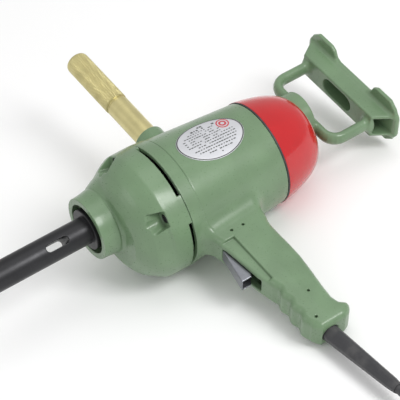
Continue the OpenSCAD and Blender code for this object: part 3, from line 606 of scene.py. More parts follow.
class Finishes:
    """Every finish on the tool, and the record's slot that each one fills."""

    ENAMEL = CastEnamel("green_cast_enamel", srgb(108, 134, 102), 0.3, coat=0.12, uneven=0.07)
    CAP_RED = GlossPaint("red_gloss_coat", srgb(184, 12, 20), 0.16, coat=0.4, uneven=0.06)
    BLACKED = TurnedMetal(
        "blacked_spindle_steel", srgb(44, 44, 46), 0.34, 0.55, mark=srgb(70, 70, 72)
    )
    ZINC = TurnedMetal(
        "yellow_zinc_plate",
        srgb(204, 194, 142),
        0.33,
        0.85,
        uneven=0.09,
        stretch=(1.0, 60.0, 1.0),
        mark=srgb(160, 146, 96),
    )
    FOIL = Foil("silver_plate_foil", srgb(205, 206, 210), 0.42, 0.35)
    INK = Finish("dark_plate_ink", srgb(58, 62, 60), 0.5)
    RED_INK = Finish("faded_red_plate_ink", srgb(190, 70, 78), 0.5)
    RUBBER = Rubber("black_lead_rubber", srgb(52, 52, 55), 0.5)
    STEEL = TurnedMetal("ground_steel", srgb(150, 150, 152), 0.28, 1.0)
    BLACK_SCREW = TurnedMetal("blacked_screw_steel", srgb(50, 50, 52), 0.4, 0.6)
    BRIGHT_SCREW = TurnedMetal("zinc_screw_steel", srgb(178, 180, 184), 0.3, 1.0)
    ALLOY = CastEnamel(
        "bare_cast_alloy",
        srgb(158, 160, 162),
        0.5,
        0.8,
        worn=srgb(205, 206, 208),
        # Its corners and hollows darken to this grey as painted shade with soiling.
        shade_grime_color=srgb(70, 70, 70),
    )
    BRONZE = Finish("sintered_bronze", srgb(178, 140, 84), 0.5, 1.0)
    BRASS = TurnedMetal("bright_brass", srgb(208, 178, 110), 0.26, 1.0)
    COPPER = Stacked("enamelled_copper_wire", srgb(168, 84, 42), 0.35, 0.6, stripes=1300.0)
    LAMINATION = Stacked("stacked_lamination", srgb(92, 94, 100), 0.5, 0.8, stripes=1600.0)
    BLACK_PLASTIC = Moulded("black_moulding", srgb(36, 36, 38), 0.45)
    WHITE_PLASTIC = Moulded("ivory_moulding", srgb(226, 220, 200), 0.4)
    CARBON = Moulded("brush_carbon", srgb(40, 40, 42), 0.6, 0.2)
    PRESSED = PressedSteel("pressed_trigger_steel", srgb(140, 142, 148), 0.34, 0.85)

    BY_SLOT: dict[str, Finish] = {
        "green_enamel": ENAMEL,
        "red_cover": CAP_RED,
        "black_spindle": BLACKED,
        "zinc_bar": ZINC,
        "label": FOIL,
        "black_rubber": RUBBER,
        "steel": STEEL,
        "dark_screws": BLACK_SCREW,
        "bright_screws": BRIGHT_SCREW,
        "cast_alloy": ALLOY,
        "bronze": BRONZE,
        "brass": BRASS,
        "copper": COPPER,
        "lamination": LAMINATION,
        "black_plastic": BLACK_PLASTIC,
        "white_plastic": WHITE_PLASTIC,
        "carbon": CARBON,
        "pressed_steel": PRESSED,
    }


# Shapes as distances ------------------------------------------------------------------
# A field gives each point's distance to a surface in millimetres, below 0 inside.


def fillet(first: Array, second: Array, radius: float) -> Array:
    """Both shapes, with the corner between them filled to a radius."""
    room_1, room_2 = np.maximum(radius - first, 0), np.maximum(radius - second, 0)
    return np.maximum(radius, np.minimum(first, second)) - np.hypot(room_1, room_2)


def rounded(first: Array, second: Array, radius: float) -> Array:
    """What both shapes share, with the edge between them rounded to a radius."""
    over_1, over_2 = np.maximum(radius + first, 0), np.maximum(radius + second, 0)
    return np.minimum(-radius, np.maximum(first, second)) + np.hypot(over_1, over_2)


def carved(shape: Array, hole: Array, radius: float) -> Array:
    """The shape less the hole, with the rim of the hole rounded to a radius."""
    return rounded(shape, -hole, radius)


def outline_distance(
    u: Array, v: Array, outline: Sequence[tuple[float, float]]
) -> Array:
    """Signed distance to a closed outline in a plane.

    Args:
        u: First coordinate of the points.
        v: Second coordinate of the points.
        outline: The outline's corners, either way round.

    Returns:
        The distance, below 0 inside the outline.
    """
    best = np.full(np.broadcast(u, v).shape, np.inf, np.float32)
    inside = np.zeros(best.shape, bool)
    for (u0, v0), (u1, v1) in zip(outline, [*outline[1:], outline[0]]):
        du, dv = u1 - u0, v1 - v0
        share = np.clip(((u - u0) * du + (v - v0) * dv) / (du * du + dv * dv), 0, 1)
        best = np.minimum(best, np.hypot(u - u0 - share * du, v - v0 - share * dv))
        if dv:
            beside = u < u0 + (v - v0) / dv * du
            inside ^= ((v0 > v) != (v1 > v)) & beside
    return np.where(inside, -best, best)


def line_distance(u: Array, v: Array, line: Sequence[tuple[float, float]]) -> Array:
    """Distance to an open line through the given points of a plane.

    Args:
        u: First coordinate of the points.
        v: Second coordinate of the points.
        line: The line's points.

    Returns:
        The distance, never below 0.
    """
    best = np.full(np.broadcast(u, v).shape, np.inf, np.float32)
    for (u0, v0), (u1, v1) in zip(line, line[1:]):
        du, dv = u1 - u0, v1 - v0
        share = np.clip(((u - u0) * du + (v - v0) * dv) / (du * du + dv * dv), 0, 1)
        best = np.minimum(best, np.hypot(u - u0 - share * du, v - v0 - share * dv))
    return best


def turned_distance(
    x: Array, radius: Array, profile: Sequence[tuple[float, float]]
) -> Array:
    """Distance to a solid turned from a profile of (x, radius), closed down to its axis.

    Args:
        x: Where the points are along the axis.
        radius: How far they are from it.
        profile: The outside, as (x, radius).

    Returns:
        The distance in millimetres, below 0 inside.
    """
    below = -60.0
    closed = [(profile[0][0], below), *profile, (profile[-1][0], below)]
    return outline_distance(x, radius, closed)


def slab(u: Array, low: float, high: float) -> Array:
    """Distance to what lies between low and high along one axis."""
    return np.abs(u - (low + high) / 2) - (high - low) / 2


def smooth_profile(
    points: Sequence[tuple[float, float]], steps: int = 4
) -> list[tuple[float, float]]:
    """A curve through given points of a profile, steps to a span.

    Args:
        points: The points that the curve runs through.
        steps: How many stretches a span gets.

    Returns:
        Points along the curve, with both of its ends.
    """
    given = np.array(points, float)
    padded = np.vstack([given[0], given, given[-1]])
    curve = []
    for a, b, c, d in zip(padded, padded[1:], padded[2:], padded[3:]):
        for t in np.arange(steps) / steps:
            cubic = 2 * b + (c - a) * t + (2 * a - 5 * b + 4 * c - d) * t**2
            curve.append(tuple(0.5 * (cubic + (3 * b - a - 3 * c + d) * t**3)))
    return [*curve, tuple(given[-1])]


@dataclass
class SurfaceNet:
    """Turns a field into a mesh of quads that lie on its surface.

    low and high are the corners of the space to look in, and step is the quads' size. Each close-up
    gives an axis, a stretch of it and the smaller step to take there.
    """

    field: Field
    low: tuple[float, float, float]
    high: tuple[float, float, float]
    step: float
    relax: int = 2
    close_ups: tuple[tuple[int, float, float, float], ...] = ()

    def mesh(self) -> tuple[Array, Array, Array]:
        """Finds the surface.

        Returns:
            Points and their outward normals in tool millimetres, and quads of point numbers.
        """
        lines = [self._line(axis) for axis in range(3)]
        grid = np.meshgrid(*lines, indexing="ij", sparse=True)
        values = self.field(*grid).astype(np.float32)
        cells, numbers = self._points(values)
        points = np.stack(
            [np.interp(cells[:, k], np.arange(len(lines[k])), lines[k]) for k in range(3)], axis=1
        )
        quads = self._quads(values < 0, numbers)
        points = self._settle(points, 3)
        for _ in range(self.relax):
            points = self._settle(self._even(points, quads), 2)
        return points, self._uphill(points)[1], quads

    def _line(self, axis: int) -> Array:
        """Where the grid's planes stand along an axis.

        Args:
            axis: 0, 1 or 2.

        Returns:
            The planes' places, in millimetres.
        """
        low, high = self.low[axis], self.high[axis]
        line = np.arange(low, high + self.step, self.step)
        for where, start, end, step in self.close_ups:
            if where == axis:
                near = np.arange(start, end, step)
                line = np.concatenate([line[line < start - step / 2], near, line[line >= end]])
        return line.astype(np.float32)

    def _points(self, values: Array) -> tuple[Array, Array]:
        """One point in each cell that the surface crosses, at the middle of its crossings.

        Args:
            values: The field at the grid.

        Returns:
            The points, counted in cells, and each cell's point number, or -1.
        """
        shape = tuple(n - 1 for n in values.shape)
        corners = np.array(list(np.ndindex(2, 2, 2)))
        parts = {
            tuple(c): values[tuple(slice(o, o + n) for o, n in zip(c, shape))]
            for c in corners
        }
        count = sum((part < 0).astype(np.int8) for part in parts.values())
        active = (count > 0) & (count < 8)
        numbers = np.full(shape, -1, np.int64)
        numbers[active] = np.arange(active.sum())
        total = np.zeros((active.sum(), 3))
        crossings = np.zeros(active.sum())
        for c in corners:
            for axis in range(3):
                if c[axis]:
                    continue
                end = c.copy()
                end[axis] = 1
                a, b = parts[tuple(c)][active], parts[tuple(end)][active]
                crossed = (a < 0) != (b < 0)
                share = a[crossed] / (a[crossed] - b[crossed])
                at = np.tile(c.astype(float), (crossed.sum(), 1))
                at[:, axis] = share
                total[crossed] += at
                crossings[crossed] += 1
        return np.argwhere(active) + total / crossings[:, None], numbers

    @staticmethod
    def _quads(inside: Array, numbers: Array) -> Array:
        """A quad round every grid edge that the surface crosses, facing outwards.

        Args:
            inside: Which points of the grid are inside.
            numbers: Each cell's point number.

        Returns:
            Quads of point numbers.
        """
        quads = []
        for axis in range(3):
            u, v = (axis + 1) % 3, (axis + 2) % 3
            cut = [slice(1, n - 1) for n in inside.shape]
            near, far = list(cut), list(cut)
            near[axis], far[axis] = slice(0, -1), slice(1, None)
            here, there = inside[tuple(near)], inside[tuple(far)]
            for solid_first in (True, False):
                edges = np.argwhere(here & ~there if solid_first else there & ~here)
                edges[:, u] += 1
                edges[:, v] += 1
                ring = []
                for back_u, back_v in ((1, 1), (0, 1), (0, 0), (1, 0)):
                    cell = edges.copy()
                    cell[:, u] -= back_u
                    cell[:, v] -= back_v
                    ring.append(numbers[tuple(cell.T)])
                quads.append(np.stack(ring if solid_first else ring[::-1], axis=1))
        return np.concatenate(quads)

    def _uphill(self, points: Array) -> tuple[Array, Array]:
        """The field at the points, and its direction away from the surface.

        Args:
            points: Where to look.

        Returns:
            The distances, and directions of length 1.
        """
        reach = self.step * 0.2
        slope = np.empty_like(points)
        for axis in range(3):
            ahead, behind = points.copy(), points.copy()
            ahead[:, axis] += reach
            behind[:, axis] -= reach
            slope[:, axis] = self.field(*ahead.T) - self.field(*behind.T)
        length = np.linalg.norm(slope, axis=1, keepdims=True)
        return self.field(*points.T), slope / np.maximum(length, 1e-9)

    def _settle(self, points: Array, times: int) -> Array:
        """The points, moved on to the surface.

        Args:
            points: The points to move.
            times: How often each is moved.

        Returns:
            The points, in their old order.
        """
        for _ in range(times):
            value, away = self._uphill(points)
            move = np.clip(value, -0.5 * self.step, 0.5 * self.step)
            points = points - away * move[:, None]
        return points

    @staticmethod
    def _even(points: Array, quads: Array) -> Array:
        """The points, moved half way to the middle of their neighbours.

        Args:
            points: The points to move.
            quads: The quads that make them neighbours.

        Returns:
            The points, in their old order.
        """
        start = np.concatenate([quads, quads], axis=0).ravel()
        end = np.concatenate([np.roll(quads, 1, 1), np.roll(quads, -1, 1)]).ravel()
        count = np.bincount(start, minlength=len(points))
        middle = np.stack(
            [
                np.bincount(start, points[end, axis], len(points)) / np.maximum(count, 1)
                for axis in range(3)
            ],
            axis=1,
        )
        return points + (middle - points) * 0.5


# Pieces -------------------------------------------------------------------------------


@dataclass
class Workshop:
    """Turns meshes into the tool's pieces, on the right bodies and with their finishes."""

    tool: ToolFrame

    def piece(
        self,
        name: str,
        points_m: Array,
        faces: Sequence[Sequence[int]] | Array,
        sharp: float | None = 35.0,
    ) -> bpy.types.Object:
        """Makes an object of a mesh.

        Args:
            name: The piece's name.
            points_m: Its points, in row metres.
            faces: Its faces, as point numbers.
            sharp: Edges that turn by more degrees than this stay crisp. None keeps all smooth.

        Returns:
            The object, at the origin.
        """
        mesh = bpy.data.meshes.new(name)
        mesh.from_pydata(
            np.asarray(points_m).tolist(), [], [[int(i) for i in f] for f in faces]
        )
        mesh.shade_smooth()
        if sharp is not None:
            mesh.set_sharp_from_angle(angle=math.radians(sharp))
        made = bpy.data.objects.new(name, mesh)
        bpy.context.scene.collection.objects.link(made)
        return made

    def cast(self, name: str, net: SurfaceNet) -> bpy.types.Object:
        """A piece whose surface follows a field, with the field's own normals.

        Args:
            name: The piece's name.
            net: The field and how finely it is meshed.

        Returns:
            The object, not yet dressed.
        """
        points, normals, quads = net.mesh()
        made = self.piece(name, self.tool.place(points), quads, None)
        made.data.normals_split_custom_set_from_vertices((normals @ self.tool.axes).tolist())
        return made

    def finish(
        self,
        made: bpy.types.Object,
        body: Body,
        slot: str,
        replaced: Iterable[str] = (),
        *,
        finish: Finish | None = None,
    ) -> bpy.types.Object:
        """Dresses a piece, puts it on its body and hides the CAD nodes that it stands for.

        Args:
            made: The piece.
            body: The body that it rides on.
            slot: The record's slot that it fills.
            replaced: The CAD nodes that it stands for.
            finish: Its finish, if not the slot's own.

        Returns:
            The piece.
        """
        if not made.data.materials:
            chosen = finish or Finishes.BY_SLOT[slot]
            made.data.materials.append(chosen.material(self.tool))
        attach(made, body.value)
        if replaced:
            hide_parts(*replaced)
        LOG.info("%s: %d faces on %s", made.name, self.faces(made), body.value)
        return made

    @staticmethod
    def faces(made: bpy.types.Object) -> int:
        """How many faces a piece's mesh has, and 0 for a curve."""
        return len(made.data.polygons) if made.type == "MESH" else 0


def ring_bands(rows: int, sides: int) -> list[list[int]]:
    """The faces between rows of points, with sides points to a closed row."""
    return [
        [row + k, row + (k + 1) % sides, row + sides + (k + 1) % sides, row + sides + k]
        for row in range(0, (rows - 1) * sides, sides)
        for k in range(sides)
    ]


def lathe(
    profile: Sequence[tuple[float, float]], sides: int, close: bool = False
) -> Mesh:
    """Turns a profile about the x axis.

    Args:
        profile: Points of (x, radius). Where it ends on the axis, the radius is 0.
        sides: How many steps go round.
        close: True where the last point joins the first, as in a ring.

    Returns:
        The points, and faces that point outwards where the profile runs from low to high x.
    """
    points, rings = [], []
    for x, radius in profile:
        if radius <= 0:
            rings.append([len(points)] * sides)
            points.append((x, 0.0, 0.0))
            continue
        rings.append(list(range(len(points), len(points) + sides)))
        turn = 2 * math.pi * np.arange(sides) / sides
        points.extend(zip([x] * sides, radius * np.cos(turn), radius * np.sin(turn)))
    faces = []
    for low, high in zip(rings, [*rings[1:], rings[0]] if close else rings[1:]):
        for k in range(sides):
            n = (k + 1) % sides
            corners = [low[k], high[k], high[n], low[n]]
            face = list(dict.fromkeys(corners))
            if len(face) > 2:
                faces.append(face[::-1])
    return np.array(points), faces


def swept(
    path: Array, radii: Sequence[float], sides: int, flute: float = 0.0, flutes: int = 0
) -> Mesh:
    """A closed tube along a path.

    Args:
        path: The points that it follows.
        radii: Its radius at each of them.
        sides: How many steps go round.
        flute: How deep the long grooves in it are.
        flutes: How many grooves there are.

    Returns:
        The points and the faces.
    """
    heading = np.gradient(path, axis=0)
    heading /= np.linalg.norm(heading, axis=1, keepdims=True)
    side = np.cross(heading, (0.0, 0.0, 1.0))
    side /= np.linalg.norm(side, axis=1, keepdims=True)
    up = np.cross(side, heading)
    turn = 2 * math.pi * np.arange(sides) / sides
    points = []
    for at, radius, s, t in zip(path, radii, side, up):
        ring = radius - flute * (0.5 + 0.5 * np.cos(flutes * turn))
        points.append(at + np.outer(ring * np.cos(turn), s) + np.outer(ring * np.sin(turn), t))
    last = (len(path) - 1) * sides
    faces = ring_bands(len(path), sides)
    faces += [list(range(sides))[::-1], [last + k for k in range(sides)]]
    return np.concatenate(points), faces


# The setting --------------------------------------------------------------------------


@dataclass
class Camera:
    """The view of the tool: where the camera stands and how it is turned, in the tool's axes."""

    azimuth: float = -35.951
    elevation: float = 49.907
    roll: float = 0.377
    aside: tuple[float, float] = (-44.854, -6.638)
    distance: float = 1960.58
    lens: float = 163.487

    def place(self, tool: ToolFrame) -> bpy.types.Object:
        """Makes the camera and gives it to the scene.

        Args:
            tool: The frame of the view.

        Returns:
            The camera.
        """
        az, el, roll = (math.radians(a) for a in (self.azimuth, self.elevation, self.roll))
        back = np.array(
            [math.sin(az) * math.cos(el), -math.cos(az) * math.cos(el), math.sin(el)]
        )
        level = np.array([math.cos(az), math.sin(az), 0.0])
        rise = np.cross(back, level)
        right = level * math.cos(roll) + rise * math.sin(roll)
        up = rise * math.cos(roll) - level * math.sin(roll)
        at = -self.aside[0] * right - self.aside[1] * up + self.distance * back
        turn = np.array([right, up, back]) @ tool.axes
        data = bpy.data.cameras.new("camera")
        data.lens, data.sensor_width, data.clip_end = self.lens, 36.0, 50.0
        camera = bpy.data.objects.new("camera", data)
        camera.matrix_world = Matrix.LocRotScale(
            Vector(tool.place(at).tolist()), Matrix(turn.T.tolist()).to_quaternion(), None
        )
        bpy.context.scene.collection.objects.link(camera)
        bpy.context.scene.camera = camera
        return camera


@dataclass(frozen=True)
class Softbox:
    """One soft light: the direction it comes from, its size and its power."""

    name: str
    azimuth: float
    elevation: float
    distance: float
    size: tuple[float, float]
    power: float

    def place(self, target: Vector) -> None:
        """Hangs the light so that it faces the target.

        Args:
            target: The point that it faces, in row metres.
        """
        az, el = math.radians(self.azimuth), math.radians(self.elevation)
        away = Vector(
            (math.cos(az) * math.cos(el), math.sin(az) * math.cos(el), math.sin(el))
        )
        data = bpy.data.lights.new(self.name, "AREA")
        data.shape, data.energy = "RECTANGLE", self.power
        data.size, data.size_y = self.size
        light = bpy.data.objects.new(self.name, data)
        light.location = target + away * self.distance
        light.rotation_mode = "QUATERNION"
        light.rotation_quaternion = away.to_track_quat("Z", "Y")
        bpy.context.scene.collection.objects.link(light)


@dataclass
class Studio:
    """A pale floor under a white sky, and soft lights."""

    floor_size: float = 14.0
    sky: float = 0.66
    lights: tuple[Softbox, ...] = (
        Softbox("twin_softbox_left", -71.0, 47.0, 2.2, (0.36, 1.0), 13.0),
        Softbox("twin_softbox_right", -56.0, 47.0, 2.2, (0.36, 1.0), 13.0),
        Softbox("overhead_softbox", 20.0, 74.0, 2.6, (1.6, 1.6), 8.0),
        Softbox("left_fill", 165.0, 34.0, 2.8, (1.4, 1.2), 6.0),
    )

    def build(self, low: Vector, high: Vector) -> None:
        """Lays the floor under the tool and lights it.

        Args:
            low: The tool's lowest corner.
            high: Its highest corner.
        """
        half = self.floor_size / 2
        mesh = bpy.data.meshes.new("floor")
        corners = [(-half, -half), (half, -half), (half, half), (-half, half)]
        mesh.from_pydata([(x, y, low.z) for x, y in corners], [], [(0, 1, 2, 3)])
        floor = bpy.data.objects.new("floor", mesh)
        bpy.context.scene.collection.objects.link(floor)
        paint = bpy.data.materials.new("pale_floor")
        paint.use_nodes = True
        surface = paint.node_tree.nodes["Principled BSDF"]
        surface.inputs["Base Color"].default_value = (0.97, 0.97, 0.97, 1.0)
        surface.inputs["Roughness"].default_value = 0.9
        surface.inputs["Specular IOR Level"].default_value = 0.1
        mesh.materials.append(paint)
        floor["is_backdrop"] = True
        world = bpy.data.worlds.new("white_sky")
        world.use_nodes = True
        sky = world.node_tree.nodes["Background"]
        sky.inputs["Color"].default_value = (1.0, 1.0, 1.0, 1.0)
        sky.inputs["Strength"].default_value = self.sky
        bpy.context.scene.world = world
        bpy.context.scene.view_settings.view_transform = "Standard"
        for light in self.lights:
            light.place((low + high) / 2)


# The lead -----------------------------------------------------------------------------


@dataclass
class Lead:
    """The mains lead: its guard, the cord with its stored coil, the tie and the plug.

    Everything here is in row millimetres, because the lead lies on the floor.
    """

    diameter: float = 9.6
    guard_line: tuple[tuple[float, float, float], ...] = (
        (5.364, -220.872, 20.816),
        (5.172, -232.2, 18.41),
        (5.107, -236.031, 17.9),
        (5.107, -252.0, 18.2),
        (5.107, -339.984, 20.711),
    )
    guard_radii: tuple[float, float, float] = (9.95, 9.7, 6.75)
    route: tuple[tuple[float, float, float], ...] = (
        (5.1, -339.984, 20.711),
        (5.0, -347.0, 20.6),
        (5.0, -354.0, 19.8),
        (5.0, -366.0, 16.5),
        (4.9, -378.0, 12.0),
        (4.4, -390.0, 7.8),
        (2.9, -404.0, 5.2),
        (0.2, -420.0, 4.8),
    )
    centre: tuple[float, float] = (58.0, -445.0)
    layers: tuple[tuple[float, tuple[float, ...]], ...] = (
        (4.8, (60.7, 51.1, 41.5)),
        (13.6, (45.3, 54.9, 64.5)),
        (22.4, (60.7, 51.1, 43.0)),
    )
    coil_points: int = 40
    plug_line_z: float = 39.5
    plug_radius: float = 53.0
    relief_len: float = 18.0
    tie_width: float = 14.0

    def turns(self) -> Array:
        """The wound part of the route, from the floor up to the back of the plug.

        Returns:
            Points in row millimetres.
        """
        stops = [(r, z) for z, radii in self.layers for r in radii]
        start = math.pi
        points = []
        for turn, (radius, height) in enumerate(stops):
            after = stops[turn + 1] if turn + 1 < len(stops) else (radius, height)
            for k in range(self.coil_points):
                share = k / self.coil_points
                shift = max(0.0, (share - 0.82) / 0.18)
                ease = shift * shift * (3 - 2 * shift)
                angle = start + 2 * math.pi * share
                r = radius + (after[0] - radius) * ease
                z = height + (after[1] - height) * ease
                points.append((r * math.cos(angle), r * math.sin(angle), z))
        radius, height = stops[-1]
        quarter = self.coil_points // 4
        for k in range(quarter + 1):
            share = k / quarter
            ease = share * share * (3 - 2 * share)
            angle = start + math.pi / 2 * share
            r = radius + (self.plug_radius - radius) * ease
            z = height + (self.plug_line_z - height) * ease
            points.append((r * math.cos(angle), r * math.sin(angle), z))
        return np.array(points) + (*self.centre, 0.0)

    def cord_line(self) -> Array:
        """The whole route of the cord, from the guard's tip into the plug's relief."""
        end = (self.centre[0] + 6.0, self.centre[1] - self.plug_radius, self.plug_line_z)
        return np.concatenate([np.array(self.route), self.turns(), np.array([end])])

    def build(self, shop: Workshop) -> None:
        """Args:
            shop: What makes and dresses the pieces.
        """
        line = self.cord_line() * MM
        curve = bpy.data.curves.new("mains_cord", "CURVE")
        curve.dimensions, curve.bevel_depth = "3D", self.diameter / 2 * MM
        curve.bevel_resolution = 5
        curve.use_fill_caps, curve.resolution_u = True, 3
        spline = curve.splines.new("NURBS")
        spline.points.add(len(line) - 1)
        spline.points.foreach_set("co", np.c_[line, np.ones(len(line))].ravel())
        spline.order_u, spline.use_endpoint_u = 4, True
        cord = bpy.data.objects.new("mains_cord", curve)
        bpy.context.scene.collection.objects.link(cord)
        shop.finish(cord, Body.CASING, "black_rubber", ("power_cord", "cord_coil"))
        on_cord = [self._plug(shop), self._pins(shop), self._tie(shop)]
        guard = self._guard(shop)

    def _guard(self, shop: Workshop) -> bpy.types.Object:
        """The tapered rubber sleeve where the cord leaves the grip.

        Args:
            shop: What makes and dresses the pieces.

        Returns:
            The guard.
        """
        line = np.array(smooth_profile(self.guard_line, 6))
        run = np.r_[0, np.cumsum(np.linalg.norm(np.diff(line, axis=0), axis=1))]
        start, shoulder, tip = self.guard_radii
        radii = np.interp(run, (0, 16, run[-1] - 2.5, run[-1]), (start, shoulder, tip, tip - 0.9))
        points, faces = swept(line, radii, 60, 0.32, 10)
        guard = shop.piece("cord_guard_sleeve", points * MM, faces, 50.0)
        return shop.finish(guard, Body.CASING, "black_rubber", ("cord_guard",))

    def _plug(self, shop: Workshop) -> bpy.types.Object:
        """The plug: a flat-sided round body with a waist, and its ribbed relief.

        Args:
            shop: What makes and dresses the pieces.

        Returns:
            The plug.
        """
        x0 = self.centre[0]
        y0, z0 = self.centre[1] - self.plug_radius, self.plug_line_z

        def field(x: Array, y: Array, z: Array) -> Array:
            """Distance to the plug.

            Args:
                x: Where the points are, in row millimetres.
                y: The same.
                z: The same.

            Returns:
                The distance in millimetres, below 0 inside.
            """
            along, r = x - x0, np.hypot(y - y0, z - z0)
            ribs = 0.45 * np.cos(np.clip(along - 3.0, 0, 12.0) * 2 * math.pi / 4.0)
            relief = rounded(r - 6.6 - along * 0.09 - ribs, slab(along, 0.0, 22.0), 0.8)
            body = rounded(r - 18.8, slab(z - z0, -13.0, 13.0), 4.0)
            body = rounded(body, slab(along, self.relief_len, 50.0), 2.2)
            waist = 1.1 * np.exp(-(((along - 28.0) / 6.5) ** 2))
            return fillet(body + waist, relief, 3.0)

        net = SurfaceNet(field, (x0 - 3, y0 - 21, z0 - 15), (x0 + 53, y0 + 21, z0 + 15), 0.9)
        points, normals, quads = net.mesh()
        plug = shop.piece("plug_moulding", points * MM, quads, None)
        plug.data.normals_split_custom_set_from_vertices(normals.tolist())
        return shop.finish(plug, Body.CASING, "black_plastic", ("plug_body",))

    def _pins(self, shop: Workshop) -> bpy.types.Object:
        """The three round pins, with turned tips.

        Args:
            shop: What makes and dresses the pieces.

        Returns:
            The pins, as one piece.
        """
        face = self.centre[0] + 50.0
        y0, z0 = self.centre[1] - self.plug_radius, self.plug_line_z
        places = ((9.5, -4.5, 2.5, 17.0), (-9.5, -4.5, 2.5, 17.0), (0.0, 6.5, 3.5, 20.0))
        points, faces = [], []
        for across, up, radius, reach in places:
            tip = [
                (face + reach - 1.6 + 1.6 * math.sin(a), radius - 1.2 + 1.2 * math.cos(a))
                for a in np.linspace(0, math.pi / 2, 6)
            ]
            ring, walls = lathe([(face - 6, 0), (face - 6, radius), *tip, (face + reach, 0)], 28)
            faces += [[i + sum(map(len, points)) for i in wall] for wall in walls]
            points.append(ring + (0.0, y0 + across, z0 + up))
        pins = shop.piece("plug_pin_set", np.concatenate(points) * MM, faces)
        return shop.finish(pins, Body.CASING, "brass", ("plug_pins",))

    def _tie(self, shop: Workshop) -> bpy.types.Object:
        """The strap that holds the coil together, round its section at the +X side.

        Args:
            shop: What makes and dresses the pieces.

        Returns:
            The strap.
        """
        half, top, corner = 15.9, 27.9, 6.0
        mid = (half - corner, top - corner)
        loop = []
        for k in range(4):
            cx = mid[0] if k in (0, 3) else -mid[0]
            cz = mid[1] if k < 2 else corner
            for a in np.linspace(90 * k, 90 * k + 90, 9):
                turn = math.radians(a)
                loop.append((cx + corner * math.cos(turn), cz + corner * math.sin(turn)))
        loop = np.array(loop)
        middle = np.array([0.0, top / 2])
        x0, y0 = self.centre[0] + 53.0, self.centre[1]
        points, faces = [], []
        for outward in (0.0, 1.3):
            inward = loop - middle
            inward = loop - inward / np.linalg.norm(inward, axis=1, keepdims=True) * (1.3 - outward)
            for side in (-0.5, 0.5):
                for u, w in inward:
                    points.append((x0 + u, y0 + side * self.tie_width, max(w, 0.05)))
        n = len(loop)
        for k in range(n):
            j = (k + 1) % n
            faces += [
                [2 * n + k, 2 * n + j, 3 * n + j, 3 * n + k],
                [k, n + k, n + j, j],
                [k, j, 2 * n + j, 2 * n + k],
                [n + k, 3 * n + k, 3 * n + j, n + j],
            ]
        tie = shop.piece("coil_tie_strap", np.array(points) * MM, faces)
        return shop.finish(tie, Body.CASING, "black_plastic", ("cord_tie",))


# Castings and covers ------------------------------------------------------------------


@dataclass
class Layout:
    """Sizes that several pieces share, in millimetres."""

    flange_r: float = 72.3
    seam_r: float = 61.0
    barrel_len: float = 130.4
    band_len: float = 16.2
    air_gap: float = 4.3
    spindle_y: float = 18.0
    nose_x: float = -81.2
    tip_x: float = -213.5
    screw_angle: float = 138.0
    screw_r: float = 64.5
    grip_half: float = 18.0
    grip_holes: tuple[tuple[float, float], ...] = (
        (36.0, -84.0),
        (50.4, -84.6),
        (53.0, -194.0),
        (39.0, -225.0),
    )
    grip_rear: tuple[tuple[float, float], ...] = (
        (86, -45.3),
        (81, -83),
        (77, -100),
        (77, -151),
        (70, -212),
        (78, -227),
        (74, -236),
        (66, -240),
    )
    grip_front: tuple[tuple[float, float], ...] = (
        (36, -240),
        (31, -233),
        (27.5, -226),
        (29, -188),
        (29, -168),
        (23.5, -146),
        (18, -100),
        (12, -76),
        (8, -45.3),
    )

    def barrel_profile(self) -> list[tuple[float, float]]:
        """The motor casing's outside, as (x, radius)."""
        return [
            (0.0, self.flange_r),
            (self.band_len, self.flange_r - 1.4),
            (self.band_len + 0.5, self.flange_r - 2.2),
            (self.barrel_len, self.seam_r),
        ]

    def barrel_radius(self, x: Array) -> Array:
        """The motor casing's outside radius at x, behind its band."""
        share = (x - self.band_len - 0.5) / (self.barrel_len - self.band_len - 0.5)
        return self.flange_r - 2.2 + (self.seam_r - self.flange_r + 2.2) * share

    def screw_places(self) -> list[tuple[float, float, float]]:
        """The casing screws' y, z and angle, in degrees from +Y towards +Z.

        Returns:
            A place for each of the four screws.
        """
        places = []
        for k in range(4):
            angle = self.screw_angle + 90 * k
            turn = math.radians(angle)
            places.append((self.screw_r * math.cos(turn), self.screw_r * math.sin(turn), angle))
        return places

    def grip_outline(self, inset: float = 0.0) -> list[tuple[float, float]]:
        """The grip's outline in x and y, drawn in by inset.

        Args:
            inset: How far inside the grip it runs, in millimetres.

        Returns:
            Its points, down the rear and up the front.
        """
        rear = [(x - inset, y) for x, y in self.grip_rear]
        front = [(x + inset, y) for x, y in self.grip_front]
        rear[-1] = (rear[-1][0], rear[-1][1] + inset)
        front[0] = (front[0][0], front[0][1] + inset)
        return [*smooth_profile(rear, 3), *smooth_profile(front, 2)]


